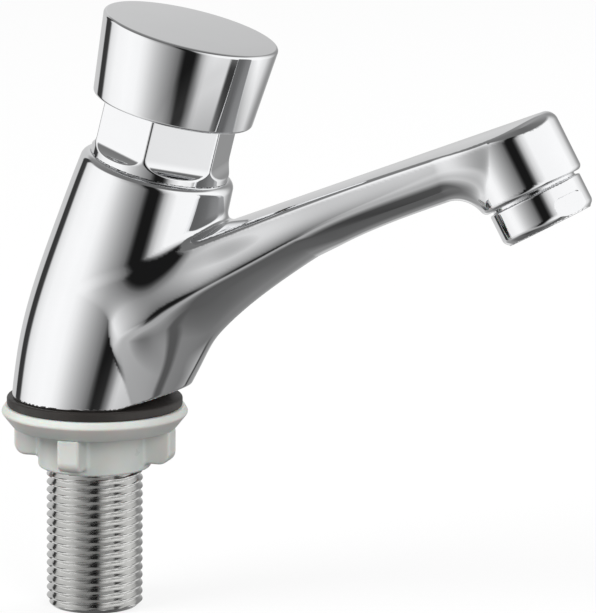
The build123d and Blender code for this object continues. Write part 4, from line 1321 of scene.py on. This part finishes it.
class TAP_OT_shank(bpy.types.Operator):
    """Builds the threaded shank: a turned tube whose thread is cut by Geometry Nodes"""

    bl_idname = "tap.shank"
    bl_label = "Threaded shank"

    def tree(self):
        """Pulls the outer wall in to a pitched V thread, and leaves chamfers and bore alone."""
        tree, given = geometry_tree("thread", Pitch=0.002, Depth=0.001, Major=0.01)
        place = put(tree, "GeometryNodeInputPosition").outputs[0]
        x, y, z = put(tree, "ShaderNodeSeparateXYZ", {0: place}).outputs
        squares = maths(tree, "ADD", maths(tree, "MULTIPLY", x, x), maths(tree, "MULTIPLY", y, y))
        radius = maths(tree, "SQRT", squares)
        turn = maths(tree, "DIVIDE", maths(tree, "ARCTAN2", y, x), 2 * math.pi)
        climb = maths(tree, "SUBTRACT", maths(tree, "DIVIDE", z, given["Pitch"]), turn)
        wave = maths(tree, "PINGPONG", maths(tree, "MULTIPLY", climb, 2.0), 1.0)
        flank = {"Value": wave, "From Min": THREAD_CREST, "From Max": THREAD_ROOT}
        groove = put(tree, "ShaderNodeMapRange", flank).outputs[0]
        cut = maths(tree, "SUBTRACT", given["Major"], maths(tree, "MULTIPLY", groove, given["Depth"]))
        share = maths(tree, "DIVIDE", maths(tree, "MINIMUM", radius, cut), radius)
        across, aside = maths(tree, "MULTIPLY", x, share), maths(tree, "MULTIPLY", y, share)
        moved = put(tree, "ShaderNodeCombineXYZ", {0: across, 1: aside, 2: z}).outputs[0]
        shaped = put(tree, "GeometryNodeSetPosition", {"Geometry": given["Geometry"], "Position": moved})
        finish_tree(tree, shaped.outputs[0], given["Material"])
        return tree

    def outline(self, shank):
        """Outline of the tube, its outer wall in steps fine enough for the thread."""
        foot = -shank.reach
        corners = [
            (shank.bore, shank.top),
            (shank.major_radius - shank.mouth_chamfer, shank.top),
            (shank.major_radius, shank.top - shank.mouth_chamfer),
            (shank.major_radius, shank.seal_top),
            (shank.major_radius - shank.seal_depth, shank.seal_top),
            (shank.major_radius - shank.seal_depth, shank.seal_foot),
            (shank.major_radius, shank.seal_foot),
            (shank.major_radius, foot + shank.tip_chamfer),
            (shank.major_radius - shank.tip_chamfer, foot),
            (shank.socket, foot),
            (shank.socket, foot + shank.socket_depth),
            (shank.bore, foot + shank.socket_depth),
        ]
        mid_wall = (shank.bore + shank.major_radius) / 2
        points = []
        for (across, level), (next_across, next_level) in zip(corners, corners[1:] + corners[:1]):
            run, rise = next_across - across, next_level - level
            outer = min(across, next_across) > mid_wall
            steps = max(1, round(abs(rise) / shank.pitch * shank.thread_steps)) if outer else 1
            for step in range(steps):
                share = step / steps
                points.append((across + run * share, level + rise * share))
        return points

    def execute(self, context):
        shank = sizes_of(context.scene.tap_shank)
        piece = turned("shank", self.outline(shank), DECK_AXIS, shank.segments)
        sizes = {
            "Pitch": shank.pitch * MM,
            "Depth": shank.thread_depth * MM,
            "Major": shank.major_radius * MM,
        }
        grown(piece, self.tree(), finishes()["plated_thread"], **sizes)
        shade(piece)
        placed(piece, finishes()["plated_thread"], "tap", "plated_brass", "inlet_shank")
        return {"FINISHED"}


class TAP_OT_outlet(bpy.types.Operator):
    """Builds the outlet's housing with its wrench flats"""

    bl_idname = "tap.outlet"
    bl_label = "Outlet housing"

    def execute(self, context):
        outlet = sizes_of(context.scene.tap_outlet)
        top = outlet.skirt + outlet.spigot_height
        middle = OUTLET + OUTLET_UP * top / 2
        reach = outlet.radius + HOUSING_ROOM

        def field(points):
            return housing_field(points, outlet)

        piece = new_piece("outlet_housing", *skin(field, middle - reach, middle + reach, outlet.cell))
        bore = [
            (0, -OVERRUN),
            (outlet.lip_radius, -OVERRUN),
            (outlet.lip_radius, outlet.lip_height),
            (outlet.bore, outlet.lip_height),
            (outlet.bore, top + OVERRUN),
            (0, top + OVERRUN),
        ]
        combined(piece, turned("bore", bore, OUTLET_AXIS))
        field_normals(piece, field)
        placed(piece, finishes()["polished_chrome"], "tap", "chrome_aerator", "aerator_housing")
        return {"FINISHED"}


class TAP_OT_spring(bpy.types.Operator):
    """Builds the return spring at its length with the cap at rest"""

    bl_idname = "tap.spring"
    bl_label = "Return spring"

    def tree(self, steps, facets):
        """Winds a line into a helix with flat end turns, and sweeps the wire along it."""
        defaults = {"Turns": 5.0, "Radius": 0.009, "Height": 0.02, "Wire": 0.0006, "Dead turns": 0.6}
        tree, given = geometry_tree("coil", **defaults)
        line = put(tree, "GeometryNodeCurvePrimitiveLine").outputs[0]
        fine = put(tree, "GeometryNodeResampleCurve", {"Curve": line, "Count": steps}).outputs[0]
        share = put(tree, "GeometryNodeSplineParameter").outputs["Factor"]
        turn = maths(tree, "MULTIPLY", maths(tree, "MULTIPLY", share, given["Turns"]), 2 * math.pi)
        x = maths(tree, "MULTIPLY", maths(tree, "COSINE", turn), given["Radius"])
        y = maths(tree, "MULTIPLY", maths(tree, "SINE", turn), given["Radius"])
        dead = maths(tree, "DIVIDE", given["Dead turns"], given["Turns"])
        live = {"Value": share, "From Min": dead, "From Max": maths(tree, "SUBTRACT", 1.0, dead)}
        climb = put(tree, "ShaderNodeMapRange", live).outputs[0]
        z = maths(tree, "MULTIPLY", climb, given["Height"])
        spot = put(tree, "ShaderNodeCombineXYZ", {0: x, 1: y, 2: z}).outputs[0]
        coil = put(tree, "GeometryNodeSetPosition", {"Geometry": fine, "Position": spot}).outputs[0]
        ring = {"Resolution": facets, "Radius": given["Wire"]}
        wire = put(tree, "GeometryNodeCurvePrimitiveCircle", ring).outputs[0]
        sweep = {"Curve": coil, "Profile Curve": wire, "Fill Caps": True}
        swept = put(tree, "GeometryNodeCurveToMesh", sweep)
        finish_tree(tree, swept.outputs[0], given["Material"])
        return tree

    def execute(self, context):
        spring = sizes_of(context.scene.tap_spring)
        bonnet = sizes_of(context.scene.tap_bonnet)
        piece = new_piece("spring", [(0, 0, 0)], [])
        sizes = {
            "Turns": spring.turns,
            "Dead turns": spring.dead_turns,
            "Radius": spring.mean_radius * MM,
            "Height": (spring.length - 2 * spring.wire_radius) * MM,
            "Wire": spring.wire_radius * MM,
        }
        grown(piece, self.tree(spring.steps, spring.facets), finishes()["stainless"], **sizes)
        seat = SEAM + PUSH_UP * bonnet.pocket_floor
        start = seat + PUSH_UP * spring.wire_radius
        lean = np.stack([PUSH_OUT, np.cross(PUSH_UP, PUSH_OUT), PUSH_UP])
        for vertex in piece.data.vertices:
            vertex.co = np.array(vertex.co) @ lean + start * MM
        shade(piece)
        placed(piece, finishes()["stainless"], "tap", "spring_steel", "return_spring")
        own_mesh(piece)
        return {"FINISHED"}


class TAP_OT_inner_pieces(bpy.types.Operator):
    """Gives the inner solids of the frame their finishes"""

    bl_idname = "tap.inner_pieces"
    bl_label = "Inner pieces"

    def execute(self, context):
        made = finishes()
        for finish_name, nodes in INNER_FINISHES.items():
            for node in nodes:
                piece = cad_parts[node]
                piece.data.materials.clear()
                piece.data.materials.append(made[finish_name])
        return {"FINISHED"}


def to_euler(aim, roll=0.0):
    """Turn of a lamp or camera whose -Z looks along a direction, with its top upwards."""
    back = -Vector(aim).normalized()
    right = Vector((0, 0, 1)).cross(back).normalized()
    turn = Matrix((right, back.cross(right), back)).transposed()
    return (turn @ Matrix.Rotation(roll, 3, "Z")).to_euler()


def panel_light(name, target, place, width, height, watts):
    """A rectangular lamp at a place, facing a target, in metres; no mirror shows it."""
    lamp = bpy.data.lights.new(name, "AREA")
    lamp.shape = "RECTANGLE"
    lamp.size, lamp.size_y, lamp.energy = width, height, watts
    lamp_object = bpy.data.objects.new(name, lamp)
    bpy.context.scene.collection.objects.link(lamp_object)
    lamp_object.location = place
    lamp_object.rotation_euler = to_euler(target - np.array(place))
    lamp_object.visible_glossy = False


class TAP_OT_stage(bpy.types.Operator):
    """Sets the floor, the light tent that the chrome mirrors, the lamps and the camera"""

    bl_idname = "tap.stage"
    bl_label = "Studio"

    def tent_greys(self, tree, heading, stops):
        """Grey of one band of the tent by heading: returns its output."""
        turned_share = maths(tree, "ADD", maths(tree, "DIVIDE", heading, 2 * math.pi), 0.5)
        ramp = put(tree, "ShaderNodeValToRGB", {"Fac": turned_share})
        points = ramp.color_ramp.elements
        points.remove(points[1])
        for index, (degrees, grey) in enumerate(stops):
            place = degrees / 360 + 0.5
            point = points[0] if index == 0 else points.new(place)
            point.position = place
            point.color = (grey, grey, grey, 1)
        return ramp.outputs["Color"]

    def tent(self, sizes):
        """A light tent seen only in reflections: white walls, dark slots, a dull floor and ceiling."""
        steps, segments = 24, 48
        arc = [math.pi * (step / steps - 0.5) for step in range(steps + 1)]
        reach = sizes.tent_radius
        outline = [(abs(reach * math.cos(rise)), reach * math.sin(rise)) for rise in arc]
        outline[0], outline[-1] = (0, -reach), (0, reach)
        tent = turned("tent", outline, DECK_AXIS, segments)
        material, tree = blank_material("tent_cloth")
        place = put(tree, "ShaderNodeTexCoord").outputs["Object"]
        x, y, z = put(tree, "ShaderNodeSeparateXYZ", {0: place}).outputs
        heading = maths(tree, "ARCTAN2", x, maths(tree, "MULTIPLY", y, -1.0))
        level = maths(tree, "DEGREES", maths(tree, "ARCSINE", maths(tree, "DIVIDE", z, reach * MM)))
        grey = self.tent_greys(tree, heading, TENT_WALL)
        for stops, start, end in TENT_BANDS:
            share = put(tree, "ShaderNodeMapRange", {"Value": level, "From Min": start, "From Max": end})
            band = self.tent_greys(tree, heading, stops)
            grey = put_colour_mix(tree, {"Factor": share.outputs[0], "A": grey, "B": band})
        linear = put(tree, "ShaderNodeGamma", {"Color": grey, "Gamma": 2.2}).outputs[0]
        glow = put(tree, "ShaderNodeEmission", {"Color": linear, "Strength": sizes.tent_light})
        put(tree, "ShaderNodeOutputMaterial", {"Surface": glow.outputs[0]})
        tent.data.materials.append(material)
        for kind in ("camera", "diffuse", "transmission", "volume_scatter", "shadow"):
            setattr(tent, "visible_" + kind, False)

    def white_seen_directly(self, tree, behind):
        """A strength of white light for camera, glossy and transmission rays, another for the rest."""
        path = put(tree, "ShaderNodeLightPath").outputs
        seen = maths(tree, "MAXIMUM", path["Is Camera Ray"], path["Is Glossy Ray"])
        seen = maths(tree, "MAXIMUM", seen, path["Is Transmission Ray"])
        spread = {"Value": seen, "To Min": behind, "To Max": 1.0}
        return put(tree, "ShaderNodeMapRange", spread).outputs[0]

    def surroundings(self, fill):
        """A world that is white where it is seen, and lights the tap softly."""
        world = bpy.data.worlds.new("studio")
        bpy.context.scene.world = world
        world.use_nodes = True
        tree = world.node_tree
        tree.nodes.clear()
        strength = self.white_seen_directly(tree, fill)
        light = put(tree, "ShaderNodeBackground", {"Color": WHITE, "Strength": strength})
        put(tree, "ShaderNodeOutputWorld", {"Surface": light.outputs[0]})

    def floor(self):
        """A wide floor under the shank's end, white where it is seen, that keeps the tap's shadow."""
        low, reach = CAD_BOX[0][2] / MM, FLOOR_REACH
        corners = [(-reach, -reach, low), (reach, -reach, low), (reach, reach, low), (-reach, reach, low)]
        floor = new_piece("floor", corners, [(0, 1, 2, 3)])
        material, tree = blank_material("floor_white")
        strength = self.white_seen_directly(tree, 0.0)
        glow = put(tree, "ShaderNodeEmission", {"Color": WHITE, "Strength": strength})
        matt = put(tree, "ShaderNodeBsdfDiffuse", {"Color": FLOOR_GREY})
        mix = put(tree, "ShaderNodeMixShader", {0: FLOOR_COVER, 1: matt.outputs[0], 2: glow.outputs[0]})
        put(tree, "ShaderNodeOutputMaterial", {"Surface": mix.outputs[0]})
        floor.data.materials.append(material)
        floor.visible_glossy = False

    def camera(self, studio, target):
        """The camera, at the photograph's angle."""
        level = math.cos(studio.elevation)
        away = np.array(
            [
                math.sin(studio.azimuth) * level,
                -math.cos(studio.azimuth) * level,
                math.sin(studio.elevation),
            ]
        )
        camera = bpy.data.objects.new("camera", bpy.data.cameras.new("camera"))
        bpy.context.scene.collection.objects.link(camera)
        camera.data.lens = studio.lens
        camera.data.sensor_width = 36
        camera.data.clip_end = 10
        camera.location = target + away * studio.distance
        camera.rotation_euler = to_euler(-away, studio.roll)
        bpy.context.scene.camera = camera

    def execute(self, context):
        studio = context.scene.tap_studio
        target = np.array([studio.target_out, 0.0, studio.target_up])
        self.surroundings(studio.fill)
        self.floor()
        self.tent(sizes_of(studio))
        for name, lamp in LAMPS.items():
            panel_light(name, target, *lamp)
        self.camera(studio, target)
        context.scene.view_settings.view_transform = "Standard"
        return {"FINISHED"}


PROPERTIES = {
    "tap_casting": CastingSizes,
    "tap_cap": CapSizes,
    "tap_bonnet": BonnetSizes,
    "tap_spring": SpringSizes,
    "tap_fixings": FixingSizes,
    "tap_shank": ShankSizes,
    "tap_outlet": OutletSizes,
    "tap_colours": FinishColours,
    "tap_studio": StudioSettings,
}
OPERATORS = (
    TAP_OT_casting,
    TAP_OT_cap,
    TAP_OT_bonnet,
    TAP_OT_fixings,
    TAP_OT_shank,
    TAP_OT_outlet,
    TAP_OT_spring,
    TAP_OT_inner_pieces,
    TAP_OT_stage,
)


class TAP_PT_pieces(bpy.types.Panel):
    """Lists the pieces of the tap"""

    bl_idname = "TAP_PT_pieces"
    bl_label = "Push timed tap"
    bl_space_type = "VIEW_3D"
    bl_region_type = "UI"
    bl_category = "Tap"

    def draw(self, context):
        for operator in OPERATORS:
            self.layout.operator(operator.bl_idname)


def register():
    """Registers the sizes, the operators and the panel."""
    for name, group in PROPERTIES.items():
        bpy.utils.register_class(group)
        setattr(bpy.types.Scene, name, bpy.props.PointerProperty(type=group))
    for kind in (*OPERATORS, TAP_PT_pieces):
        bpy.utils.register_class(kind)


def unregister():
    """Takes away what register adds."""
    for kind in reversed((*OPERATORS, TAP_PT_pieces)):
        bpy.utils.unregister_class(kind)
    for name, group in reversed(PROPERTIES.items()):
        delattr(bpy.types.Scene, name)
        bpy.utils.unregister_class(group)


def main():
    """Builds every piece in order."""
    register()
    for operator in OPERATORS:
        family, action = operator.bl_idname.split(".")
        getattr(getattr(bpy.ops, family), action)()


if __name__ == "__main__":
    main()
